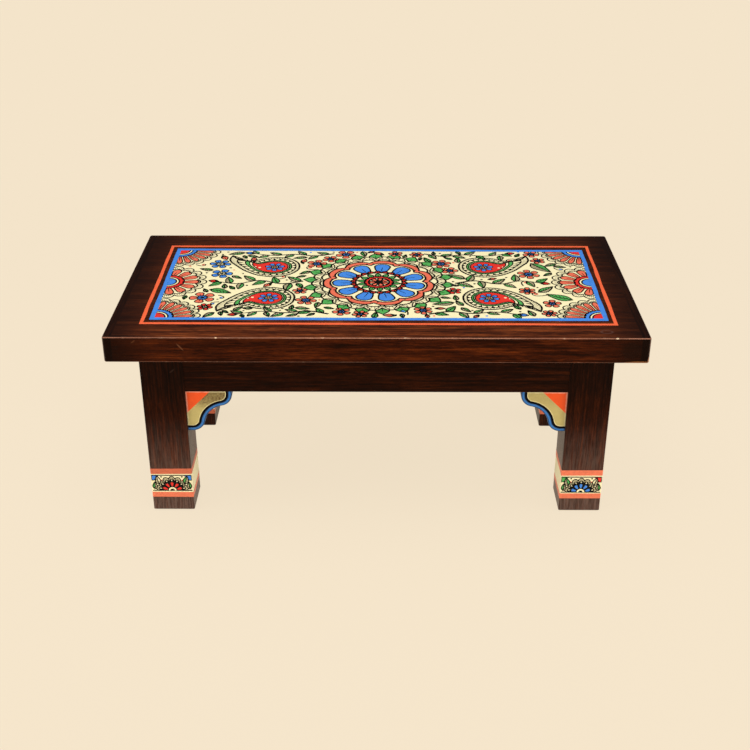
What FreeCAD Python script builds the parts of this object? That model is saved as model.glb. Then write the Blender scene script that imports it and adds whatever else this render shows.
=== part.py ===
import FreeCAD, Part
import math
import os

# Bajot: a low table of solid wood. A thick top of three planks between two end lippings
# sits on four square legs, which are tied by a tenoned apron frame with shaped brackets
# in its corners. Millimetres. +X runs along the length, +Z is up and the front faces -Y.
# The origin is on the floor, under the middle of the top.

# Overall sizes
overall_length = 610.0
overall_width = 312.0
overall_height = 250.0

# Top
top_thickness = 31.0
top_end_overhang = 32.0
top_side_overhang = 29.0
top_corner_radius = 3.0
top_arris_radius = 1.5
plank_names = ("front", "middle", "rear")
lipping_width = 10.0

# Tongues and grooves in the top
tongue_thickness = 8.0
plank_tongue_depth = 8.0
lipping_tongue_depth = 6.0
lipping_tongue_stop = 20.0
groove_bottom_gap = 0.5

# Legs
leg_section = 50.0
leg_arris_radius = 1.0
leg_foot_chamfer = 2.0

# Aprons and their tenons
apron_height = 54.0
apron_thickness = 20.0
apron_reveal = 1.0
apron_arris_radius = 1.0
tenon_thickness = 8.0
tenon_edge_shoulder = 8.0
mortise_bottom_gap = 1.5
mortise_web = 5.5

# Corner brackets: two round lobes with a cove between them. The reach is that of the brackets
# on the long sides, and the gap is what the two brackets of a short side leave between them.
bracket_reach = 54.0
short_bracket_gap = 46.0
bracket_nose = 5.5
bracket_lobe_radius = 15.2
bracket_cove_radius = 26.0
bracket_thickness = 14.0
bracket_arris_bevel = 1.2

# Dowels that hold the brackets to the legs and the aprons
dowel_diameter = 6.0
dowel_length = 22.0
dowel_hole_gap = 0.5

# Battens under the top, along the insides of the aprons
batten_section = 16.0
batten_chamfer = 2.0
long_batten_end_gap = 25.0
short_batten_end_gap = 10.0

# Pan-head wood screws through the battens. The short battens, which lie across the grain of
# the top, hold it by one middle screw, so that the planks can swell and shrink.
screw_shank_diameter = 4.0
screw_head_diameter = 8.0
screw_head_height = 2.4
screw_bite = 14.0
screw_hole_gap = 0.5
long_batten_apron_screw_shares = (-0.25, 0.25)
long_batten_top_screw_shares = (-0.4, 0.0, 0.4)
short_batten_apron_screw_shares = (-0.3, 0.3)
short_batten_top_screw_shares = (0.0,)

# Clearance all round a tenon, a tongue, a dowel or a screw, the overrun of a cut, and how near
# an edge lies to the face that it is picked by
joint_clearance = 0.1
cut_overrun = 1.0
edge_margin = 0.05

# Heights and half sizes that the pieces share
top_bottom = overall_height - top_thickness
top_middle = overall_height - top_thickness / 2
apron_bottom = top_bottom - apron_height
half_length = overall_length / 2
half_width = overall_width / 2
leg_face_x = half_length - top_end_overhang
leg_face_y = half_width - top_side_overhang
long_clear_length = 2 * (leg_face_x - leg_section)
short_clear_length = 2 * (leg_face_y - leg_section)
short_bracket_reach = (short_clear_length - short_bracket_gap) / 2

# Places across a side of the frame, measured inwards from the outer faces of its legs
apron_outer = apron_reveal
apron_inner = apron_outer + apron_thickness
apron_centre = (apron_outer + apron_inner) / 2
tenon_outer = apron_centre - tenon_thickness / 2
tenon_inner = apron_centre + tenon_thickness / 2
bracket_outer = apron_centre - bracket_thickness / 2
batten_inner = apron_inner + batten_section
batten_centre = apron_inner + batten_section / 2
batten_bottom = top_bottom - batten_section
batten_middle = top_bottom - batten_section / 2

# The tenons stop short of the mortise that comes from the next side of the leg
tenon_length = leg_section - tenon_inner - mortise_bottom_gap - mortise_web
tenon_bottom = apron_bottom + tenon_edge_shoulder
tenon_top = top_bottom - tenon_edge_shoulder
screw_length = batten_section + screw_bite

# Sides of the frame: turn about Z, clear length between the legs, distance of the legs'
# outer faces from the middle, and which corner lies at the low and at the high end
half_turn = 180.0
quarter_turn = half_turn / 2
sides = {
    "front": (0.0, long_clear_length, leg_face_y, ("left", "right")),
    "right": (quarter_turn, short_clear_length, leg_face_x, ("front", "rear")),
    "rear": (half_turn, long_clear_length, leg_face_y, ("right", "left")),
    "left": (-quarter_turn, short_clear_length, leg_face_x, ("rear", "front")),
}
long_sides = ("front", "rear")
up = FreeCAD.Vector(0, 0, 1)
centre = FreeCAD.Vector(0, 0, 0)
along_x = FreeCAD.Vector(1, 0, 0)
along_y = FreeCAD.Vector(0, 1, 0)


def block(x_range, y_range, z_range):
    """A box between low and high values on each axis."""
    low = FreeCAD.Vector(x_range[0], y_range[0], z_range[0])
    spans = [high - start for start, high in (x_range, y_range, z_range)]
    return Part.makeBox(spans[0], spans[1], spans[2], low)


def span(middle, half_size):
    """Low and high value about a middle."""
    return (middle - half_size, middle + half_size)


def edges_along(shape, direction, test):
    """Straight edges of a shape that run along a direction and pass a test on their middle."""
    found = []
    for edge in shape.Edges:
        run = edge.Vertexes[-1].Point - edge.Vertexes[0].Point
        if run.Length > 0 and run.cross(direction).Length < edge_margin and test(edge.CenterOfMass):
            found.append(edge)
    return found


def place_on_side(shape, side):
    """Turn a shape from the side's own frame into its place on the table."""
    turn, _clear_length, distance, _corners = sides[side]
    placed = shape.copy()
    placed.translate(FreeCAD.Vector(0, -distance, 0))
    placed.rotate(centre, up, turn)
    return placed


def mirrored_end(shape, end):
    """A shape made for the high end of a side, at the high end (1) or the low end (-1)."""
    return shape if end > 0 else shape.mirror(centre, along_x)


# Top


def rounded_slab():
    """Outer form of the whole top, with rounded corners and eased arrises."""
    slab = block(span(0, half_length), span(0, half_width), (top_bottom, overall_height))
    corners = edges_along(slab, up, lambda middle: True)
    slab = slab.makeFillet(top_corner_radius, corners)
    rims = [edge for edge in slab.Edges
            if abs(edge.CenterOfMass.z - top_middle) > top_thickness / 2 - edge_margin]
    return slab.makeFillet(top_arris_radius, rims)


def end_groove(x_sign):
    """Cut for the tongue of a lipping in the ends of the planks, stopped at both ends."""
    joint_x = half_length - lipping_width
    depth = lipping_tongue_depth + groove_bottom_gap
    width = half_width - lipping_tongue_stop + groove_bottom_gap
    x_range = (joint_x - depth, joint_x + cut_overrun)
    height = tongue_thickness / 2 + joint_clearance
    cut = block(x_range, span(0, width), span(top_middle, height))
    return mirrored_end(cut, x_sign)


def top_plank(index, slab):
    """One plank of the top: a tongue on its rear edge and a groove in its front edge."""
    joint_x = half_length - lipping_width
    plank_width = overall_width / len(plank_names)
    front = index * plank_width - half_width
    rear = front + plank_width
    tongue_half = tongue_thickness / 2
    plank = block(span(0, joint_x), (front, rear), (top_bottom, overall_height)).common(slab)
    if index < len(plank_names) - 1:
        tongue = block(span(0, joint_x), (rear - cut_overrun, rear + plank_tongue_depth),
                       span(top_middle, tongue_half))
        plank = plank.fuse(tongue).removeSplitter()
    if index > 0:
        groove = block(span(0, joint_x + cut_overrun),
                       (front - cut_overrun, front + plank_tongue_depth + groove_bottom_gap),
                       span(top_middle, tongue_half + joint_clearance))
        plank = plank.cut(groove)
    return plank.cut(end_groove(1)).cut(end_groove(-1))


def end_lipping(slab):
    """The strip across the right-hand end of the planks, with its stopped tongue."""
    joint_x = half_length - lipping_width
    strip = block((joint_x, half_length), span(0, half_width), (top_bottom, overall_height))
    tongue = block((joint_x - lipping_tongue_depth, joint_x + cut_overrun),
                   span(0, half_width - lipping_tongue_stop),
                   span(top_middle, tongue_thickness / 2))
    return strip.common(slab).fuse(tongue).removeSplitter()


# Legs


def leg_blank():
    """The square leg at the right-hand front corner, before its joints are cut."""
    square = block((leg_face_x - leg_section, leg_face_x), (-leg_face_y, leg_section - leg_face_y),
                   (0, top_bottom))
    foot_edges = [edge for edge in square.Edges if edge.BoundBox.ZMax < edge_margin]
    rounded = square.makeFillet(leg_arris_radius, edges_along(square, up, lambda middle: True))
    return rounded.common(square.makeChamfer(leg_foot_chamfer, foot_edges))


# Sides of the frame. Each piece is made with the legs' outer faces at y = 0, the outside
# towards -Y, and the middle of the side at x = 0.


def apron(clear_length):
    """A rail with a centred tenon on each end and eased lower arrises."""
    half_clear = clear_length / 2
    rail = block(span(0, half_clear), (apron_outer, apron_inner), (apron_bottom, top_bottom))
    lower = edges_along(rail, along_x, lambda middle: middle.z < apron_bottom + edge_margin)
    rail = rail.makeFillet(apron_arris_radius, lower)
    tenons = block(span(0, half_clear + tenon_length), (tenon_outer, tenon_inner),
                   (tenon_bottom, tenon_top))
    return rail.fuse(tenons).removeSplitter()


def mortise(clear_length):
    """Cut for the tenon at the high end of a side."""
    half_clear = clear_length / 2
    return block((half_clear - cut_overrun, half_clear + tenon_length + mortise_bottom_gap),
                 (tenon_outer - joint_clearance, tenon_inner + joint_clearance),
                 (tenon_bottom - joint_clearance, tenon_top + joint_clearance))


def bracket_points(reach):
    """Points of the bracket's free outline, as distances from the leg and below the apron."""
    lobe_across = reach - bracket_lobe_radius
    lobe_down = bracket_nose
    reach_between = bracket_lobe_radius + bracket_cove_radius
    offset = lobe_across - lobe_down
    root = math.sqrt(2 * reach_between ** 2 - offset ** 2)
    cove_place = (lobe_across + lobe_down + root) / 2
    sweep = math.atan2(cove_place - lobe_down, cove_place - lobe_across)

    def on_lobe(angle):
        across = lobe_across + bracket_lobe_radius * math.cos(angle)
        down = lobe_down + bracket_lobe_radius * math.sin(angle)
        return (across, down)

    cove_depth = cove_place - bracket_cove_radius / math.sqrt(2)
    half_outline = [(reach, 0), on_lobe(0), on_lobe(sweep / 2), on_lobe(sweep)]
    other_half = [(down, across) for across, down in reversed(half_outline)]
    return half_outline + [(cove_depth, cove_depth)] + other_half


def bracket(clear_length, reach):
    """The bracket at the high end of a side, with its free arrises bevelled."""
    half_clear = clear_length / 2

    def at(point):
        return FreeCAD.Vector(half_clear - point[0], bracket_outer, apron_bottom - point[1])

    points = [at(point) for point in bracket_points(reach)]
    corner = at((0, 0))
    outline = [Part.LineSegment(corner, points[0]), Part.LineSegment(points[0], points[1])]
    outline += [Part.Arc(*points[start:start + 3]) for start in range(1, len(points) - 2, 2)]
    outline += [Part.LineSegment(points[-2], points[-1]), Part.LineSegment(points[-1], corner)]
    wire = Part.Wire([curve.toShape() for curve in outline])
    solid = Part.Face(wire).extrude(FreeCAD.Vector(0, bracket_thickness, 0))

    def is_free(edge):
        box = edge.BoundBox
        flat = box.YLength < edge_margin
        on_leg = box.XMin > half_clear - edge_margin
        on_apron = box.ZMin > apron_bottom - edge_margin
        return flat and not on_leg and not on_apron

    return solid.makeChamfer(bracket_arris_bevel, [edge for edge in solid.Edges if is_free(edge)])


def dowel(start, direction):
    """A plain dowel from a start point along a direction."""
    return Part.makeCylinder(dowel_diameter / 2, dowel_length, start, direction)


def dowel_hole(start, direction):
    """The hole for a dowel, a little longer than it at both ends."""
    radius = dowel_diameter / 2 + joint_clearance
    length = dowel_length + 2 * dowel_hole_gap
    return Part.makeCylinder(radius, length, start - direction * dowel_hole_gap, direction)


def dowel_axes(clear_length, reach):
    """Start point and direction of the two dowels, one in each lobe of the high end's bracket."""
    half_clear = clear_length / 2
    half_dowel = dowel_length / 2
    lobe_place = reach - bracket_lobe_radius
    into_leg = FreeCAD.Vector(half_clear - half_dowel, apron_centre, apron_bottom - lobe_place)
    into_apron = FreeCAD.Vector(half_clear - lobe_place, apron_centre, apron_bottom - half_dowel)
    return [(into_leg, along_x), (into_apron, up)]


def batten(clear_length, end_gap):
    """A square batten in the corner of the apron and the top, with its free arris bevelled."""
    half_batten = clear_length / 2 - end_gap
    strip = block(span(0, half_batten), (apron_inner, batten_inner), (batten_bottom, top_bottom))
    free = edges_along(strip, along_x, lambda middle: middle.y > batten_inner - edge_margin
                       and middle.z < batten_bottom + edge_margin)
    return strip.makeChamfer(batten_chamfer, free)


def screw(seat, direction):
    """A pan-head screw whose head sits on a batten's face and whose shank runs along a direction."""
    head = Part.makeCylinder(screw_head_diameter / 2, screw_head_height, seat, -direction)
    shank = Part.makeCylinder(screw_shank_diameter / 2, screw_length, seat, direction)
    return head.fuse(shank).removeSplitter()


def screw_hole(seat, direction):
    """The hole for a screw's shank, from the batten's face inwards."""
    radius = screw_shank_diameter / 2 + joint_clearance
    length = cut_overrun + screw_length + screw_hole_gap
    return Part.makeCylinder(radius, length, seat - direction * cut_overrun, direction)


def screw_axes(clear_length, end_gap, apron_shares, top_shares):
    """Seats and directions of a batten's screws into the apron and into the top."""
    batten_length = clear_length - 2 * end_gap
    into_apron = [(FreeCAD.Vector(share * batten_length, batten_inner, batten_middle), -along_y)
                  for share in apron_shares]
    into_top = [(FreeCAD.Vector(share * batten_length, batten_centre, batten_bottom), up)
                for share in top_shares]
    return into_apron, into_top


def frame_side(side):
    """Every piece of one side in place, with the cuts that it needs in the legs and the top."""
    _turn, clear_length, _distance, corners = sides[side]
    is_long = side in long_sides
    reach = bracket_reach if is_long else short_bracket_reach
    end_gap = long_batten_end_gap if is_long else short_batten_end_gap
    apron_shares = long_batten_apron_screw_shares if is_long else short_batten_apron_screw_shares
    top_shares = long_batten_top_screw_shares if is_long else short_batten_top_screw_shares
    into_apron, into_top = screw_axes(clear_length, end_gap, apron_shares, top_shares)
    screw_cuts = [screw_hole(seat, direction) for seat, direction in into_apron + into_top]
    axes = dowel_axes(clear_length, reach)
    end_cuts = [dowel_hole(start, direction) for start, direction in axes]
    ends = {-1: corners[0], 1: corners[1]}
    dowel_cuts = [mirrored_end(cut, end) for end in ends for cut in end_cuts]

    pieces = {
        "apron_" + side: apron(clear_length).cut(screw_cuts + dowel_cuts),
        "batten_" + side: batten(clear_length, end_gap).cut(screw_cuts),
    }
    for end, corner in ends.items():
        cut_bracket = bracket(clear_length, reach).cut(end_cuts)
        pieces["bracket_" + side + "_" + corner] = mirrored_end(cut_bracket, end)
    dowels = [mirrored_end(dowel(start, direction), end) for end in ends for start, direction in axes]
    leg_cuts = [mirrored_end(cut, end) for end in ends for cut in [mortise(clear_length)] + end_cuts]
    groups = {
        "batten_to_apron_screws": [screw(seat, direction) for seat, direction in into_apron],
        "batten_to_top_screws": [screw(seat, direction) for seat, direction in into_top],
        "bracket_dowels": dowels,
        "leg_cuts": leg_cuts,
        "top_cuts": screw_cuts[len(into_apron):],
    }
    placed = {name: place_on_side(shape, side) for name, shape in pieces.items()}
    placed_groups = {name: [place_on_side(shape, side) for shape in shapes]
                     for name, shapes in groups.items()}
    return placed, placed_groups


def table_pieces():
    """All nodes of the table, by name."""
    pieces = {}
    groups = {}
    for side in sides:
        side_pieces, side_groups = frame_side(side)
        pieces.update(side_pieces)
        for name, shapes in side_groups.items():
            groups.setdefault(name, []).extend(shapes)
    leg_cuts = groups.pop("leg_cuts")
    top_cuts = groups.pop("top_cuts")

    slab = rounded_slab()
    for index, name in enumerate(plank_names):
        pieces["top_plank_" + name] = top_plank(index, slab).cut(top_cuts)
    right_lipping = end_lipping(slab)
    pieces["end_lipping_right"] = right_lipping
    pieces["end_lipping_left"] = right_lipping.mirror(centre, along_x)

    front_right = leg_blank()
    blanks = {"leg_front_right": front_right, "leg_front_left": front_right.mirror(centre, along_x)}
    blanks["leg_rear_right"] = blanks["leg_front_right"].mirror(centre, along_y)
    blanks["leg_rear_left"] = blanks["leg_front_left"].mirror(centre, along_y)
    for name, blank in blanks.items():
        pieces[name] = blank.cut(leg_cuts)
    for name, shapes in groups.items():
        pieces[name] = Part.makeCompound(shapes)
    return pieces


def write_pieces():
    """Write one STEP file for each node and print what it holds."""
    os.makedirs("parts", exist_ok=True)
    for name, shape in sorted(table_pieces().items()):
        print(name, "solids", len(shape.Solids), "volume", round(shape.Volume), "valid", shape.isValid())
        shape.exportStep(os.path.join("parts", name + ".step"))


write_pieces()
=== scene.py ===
"""Low table of stained wood with a painted top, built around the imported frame.

The wood pieces and the screws keep their CAD meshes and are given their finishes. The painted
brackets, the bands round the legs and the ornament on the top are modelled here.
Sizes are in millimetres and are scaled when a mesh is finished.
"""

import logging
import math
import random
from dataclasses import dataclass, field, replace
from enum import Enum

import bmesh
import bpy
from mathutils import Matrix, Vector


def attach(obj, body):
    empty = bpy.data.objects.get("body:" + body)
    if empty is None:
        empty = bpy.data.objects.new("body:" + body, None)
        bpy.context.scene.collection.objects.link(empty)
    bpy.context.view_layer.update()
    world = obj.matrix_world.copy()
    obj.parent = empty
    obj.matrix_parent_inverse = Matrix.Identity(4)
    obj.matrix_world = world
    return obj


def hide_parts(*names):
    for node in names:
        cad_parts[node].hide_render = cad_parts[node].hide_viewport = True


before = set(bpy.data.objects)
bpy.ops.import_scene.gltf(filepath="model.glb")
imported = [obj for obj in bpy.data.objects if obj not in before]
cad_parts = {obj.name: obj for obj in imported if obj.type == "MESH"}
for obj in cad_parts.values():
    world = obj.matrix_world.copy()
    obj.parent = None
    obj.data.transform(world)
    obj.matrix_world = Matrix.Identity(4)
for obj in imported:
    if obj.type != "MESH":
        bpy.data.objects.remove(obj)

log = logging.getLogger("low_table")

MM = 0.001
TINY = 0.001
ROOT = "root"

Colour = tuple[float, float, float, float]
Triple = tuple[float, float, float]
Point = tuple[float, float]
Limits = tuple[float, float, float, float]
Knot = tuple[float, float, bool]
Socket = bpy.types.NodeSocket
Material = bpy.types.Material
Mesh = bpy.types.Mesh
BMesh = bmesh.types.BMesh


def srgb(red: float, green: float, blue: float) -> Colour:
    """Linear colour of a screen colour.

    Args:
        red: Red from 0 to 255.
        green: Green from 0 to 255.
        blue: Blue from 0 to 255.

    Returns:
        The linear colour with an alpha of 1.
    """
    shares = [value / 255 for value in (red, green, blue)]
    linear = [s / 12.92 if s <= 0.04045 else ((s + 0.055) / 1.055) ** 2.4 for s in shares]
    return (linear[0], linear[1], linear[2], 1.0)


def scaled(colour: Colour, share: float) -> Colour:
    """A colour with its channels multiplied by a share."""
    return (colour[0] * share, colour[1] * share, colour[2] * share, 1.0)


class Nodes:
    """Node tree with a short call for its nodes."""

    def __init__(self, node_tree: bpy.types.NodeTree) -> None:
        """Empty a node tree.

        Args:
            node_tree: The node tree.
        """
        self.links = node_tree.links
        self.nodes = node_tree.nodes
        self.nodes.clear()

    def feed(self, target: Socket, value: object) -> None:
        """Join a socket to a target, or set a plain value on it.

        Args:
            target: The input socket.
            value: An output socket or a plain value.
        """
        if isinstance(value, Socket):
            self.links.new(value, target)
        else:
            target.default_value = value

    def add(self, kind: str, inputs: dict[int | str, object], **settings: str) -> bpy.types.Node:
        """Add a node.

        Args:
            kind: Its type, without the prefix that all of them share.
            inputs: Sockets or plain values, by the number or name of the input.
            settings: The node's own settings.

        Returns:
            The node.
        """
        node = self.nodes.new("ShaderNode" + kind)
        for name, value in settings.items():
            setattr(node, name, value)
        for name, value in inputs.items():
            self.feed(node.inputs[name], value)
        return node


class Tree(Nodes):
    """Node tree of one material, with short calls for the nodes that the finishes share."""

    def __init__(self, name: str) -> None:
        """Start a material with a plain shader.

        Args:
            name: Name of the material.
        """
        self.material = bpy.data.materials.new(name)
        self.material.use_nodes = True
        super().__init__(self.material.node_tree)
        self.shader = self.add("BsdfPrincipled", {})
        self.output = self.add("OutputMaterial", {"Surface": self.shader.outputs["BSDF"]})
        coordinates = self.add("TexCoord", {})
        self.place = coordinates.outputs["Object"]
        self.normal = coordinates.outputs["Normal"]

    def compute(self, operation: str, *values: object) -> Socket:
        """One step of arithmetic on up to three values or sockets."""
        return self.add("Math", dict(enumerate(values)), operation=operation).outputs[0]

    def times(self, first: object, second: object) -> Socket:
        """Two values multiplied."""
        return self.compute("MULTIPLY", first, second)

    def less(self, first: object, second: object) -> Socket:
        """The second value taken from the first."""
        return self.compute("SUBTRACT", first, second)

    def linear(self, value: object, slope: object, base: object) -> Socket:
        """A value times a slope, and a base added."""
        return self.compute("MULTIPLY_ADD", value, slope, base)

    def vector(self, operation: str, *values: object) -> bpy.types.Node:
        """Node for one step of arithmetic on vectors."""
        return self.add("VectorMath", dict(enumerate(values)), operation=operation)

    def length(self, value: Socket) -> Socket:
        """Length of a vector."""
        return self.vector("LENGTH", value).outputs["Value"]

    def stretch(self, place: Socket, scale: Triple, offset: Triple = (0.0, 0.0, 0.0)) -> Socket:
        """A place moved by an offset and then scaled on each axis."""
        return self.vector("MULTIPLY", self.vector("ADD", place, offset).outputs[0], scale).outputs[0]

    def noise(self, place: Socket, scale: float, detail: float = 3.0, roughness: float = 0.55) -> Socket:
        """Cloudy values from 0 to 1, by the clouds in a metre, the number of finer layers and their share."""
        inputs = {"Vector": place, "Scale": scale, "Detail": detail, "Roughness": roughness}
        return self.add("TexNoise", inputs).outputs["Fac"]

    def step(self, value: object, low: float, high: float, start: float = 0.0, end: float = 1.0) -> Socket:
        """A smooth step from the start, below the low place, to the end, above the high one."""
        inputs = dict(enumerate((value, low, high, start, end)))
        return self.add("MapRange", inputs, interpolation_type="SMOOTHSTEP").outputs[0]

    def ramp(self, value: Socket, stops: list[tuple[float, Colour]]) -> Socket:
        """A colour ramp.

        Args:
            value: Socket of the value.
            stops: Places and colours along the ramp.

        Returns:
            The colour's socket.
        """
        node = self.add("ValToRGB", {0: value})
        elements = node.color_ramp.elements
        while len(elements) < len(stops):
            elements.new(0.5)
        for element, (place, colour) in zip(elements, stops):
            element.position = place
            element.color = colour
        return node.outputs[0]

    def blend(self, share: object, first: object, second: object, way: str = "MIX") -> Socket:
        """Two colours blended, by the share of the second one."""
        return self.add("Mix", {0: share, 6: first, 7: second}, data_type="RGBA", blend_type=way).outputs[2]

    def axes(self, place: Socket) -> list[Socket]:
        """Sockets of a vector's X, Y and Z."""
        return list(self.add("SeparateXYZ", {0: place}).outputs)

    def bump(self, height: Socket, distance: float, strength: float = 0.5) -> None:
        """Bump the surface by a height from 0 to 1, the height's size in metres and a share."""
        node = self.add("Bump", {"Strength": strength, "Distance": distance, "Height": height})
        self.feed(self.shader.inputs["Normal"], node.outputs[0])

    def coat(self, colour: object, roughness: object, **values: object) -> Material:
        """Set what the shader shows.

        Args:
            colour: Colour or its socket.
            roughness: Roughness or its socket.
            values: Plain values, by socket names with underscores for spaces.

        Returns:
            The material.
        """
        for name, value in {"Base_Color": colour, "Roughness": roughness, **values}.items():
            self.feed(self.shader.inputs[name.replace("_", " ")], value)
        return self.material


class Grain(Enum):
    """Axis that the wood's fibres run along."""

    X = 0
    Y = 1
    Z = 2

    def along(self, length: float, across: float = 1.0) -> Triple:
        """Scale vector with one value along the fibres and another across them.

        Args:
            length: Scale along the fibres.
            across: Scale on the other two axes.

        Returns:
            Scales on X, Y and Z.
        """
        scale = [across, across, across]
        scale[self.value] = length
        return (scale[0], scale[1], scale[2])


@dataclass(frozen=True)
class FibreLayer:
    """Noise drawn out along the fibres of the wood, and the share of it that the colour takes."""

    length: float
    scale: float
    detail: float = 3.0
    roughness: float = 0.55
    across: float = 1.0
    share: float = 1.0

    def lay(self, tree: Tree, grain: Grain, shift: Triple = (0.0, 0.0, 0.0)) -> Socket:
        """The layer's value from 0 to 1, with its place shifted first."""
        place = tree.stretch(tree.place, grain.along(self.length, self.across), shift)
        return tree.noise(place, self.scale, self.detail, self.roughness)


@dataclass(frozen=True)
class EdgeBox:
    """Box whose arrises are worn and highlit. Metres."""

    middle: Triple
    half: Triple

    def edge_distance(self, tree: Tree) -> Socket:
        """How far a place is from the box's nearest edge.

        Args:
            tree: The material's node tree.

        Returns:
            Socket of the distance in metres.
        """
        depths = []
        for axis, socket in enumerate(tree.axes(tree.place)):
            offset = tree.compute("ABSOLUTE", tree.less(socket, self.middle[axis]))
            depths.append(tree.less(self.half[axis], offset))
        low = tree.compute("MINIMUM", depths[0], depths[1])
        high = tree.compute("MAXIMUM", depths[0], depths[1])
        return tree.compute("MAXIMUM", low, tree.compute("MINIMUM", high, depths[2]))


@dataclass(frozen=True)
class Scuff:
    """Small mark on the wood: a rubbed or scratched place, a ring, or a dark patch. Metres, and a lean in
    degrees.
    """

    place: Triple
    half: Triple
    colour: Colour
    share: float = 0.8
    lean: float = 0.0
    hollow: bool = False

    def lay(self, tree: Tree, wood: Socket) -> Socket:
        """Lay the mark over the wood.

        Args:
            tree: The material's node tree.
            wood: Socket of the wood's colour.

        Returns:
            Socket of the new colour.
        """
        inputs = {"Vector": tree.place, "Center": self.place, "Angle": math.radians(self.lean)}
        turned = tree.add("VectorRotate", inputs, rotation_type="Y_AXIS").outputs[0]
        away = tuple(-value for value in self.place)
        sized = tree.stretch(turned, tuple(1.0 / value for value in self.half), away)
        rough = tree.linear(tree.noise(tree.place, 900.0, 2.0), 0.5, tree.length(sized))
        share = tree.step(rough, 0.9, 1.3, self.share, 0.0)
        if self.hollow:
            share = tree.times(share, tree.step(rough, 0.75, 1.0))
        return tree.blend(share, wood, self.colour)


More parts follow.
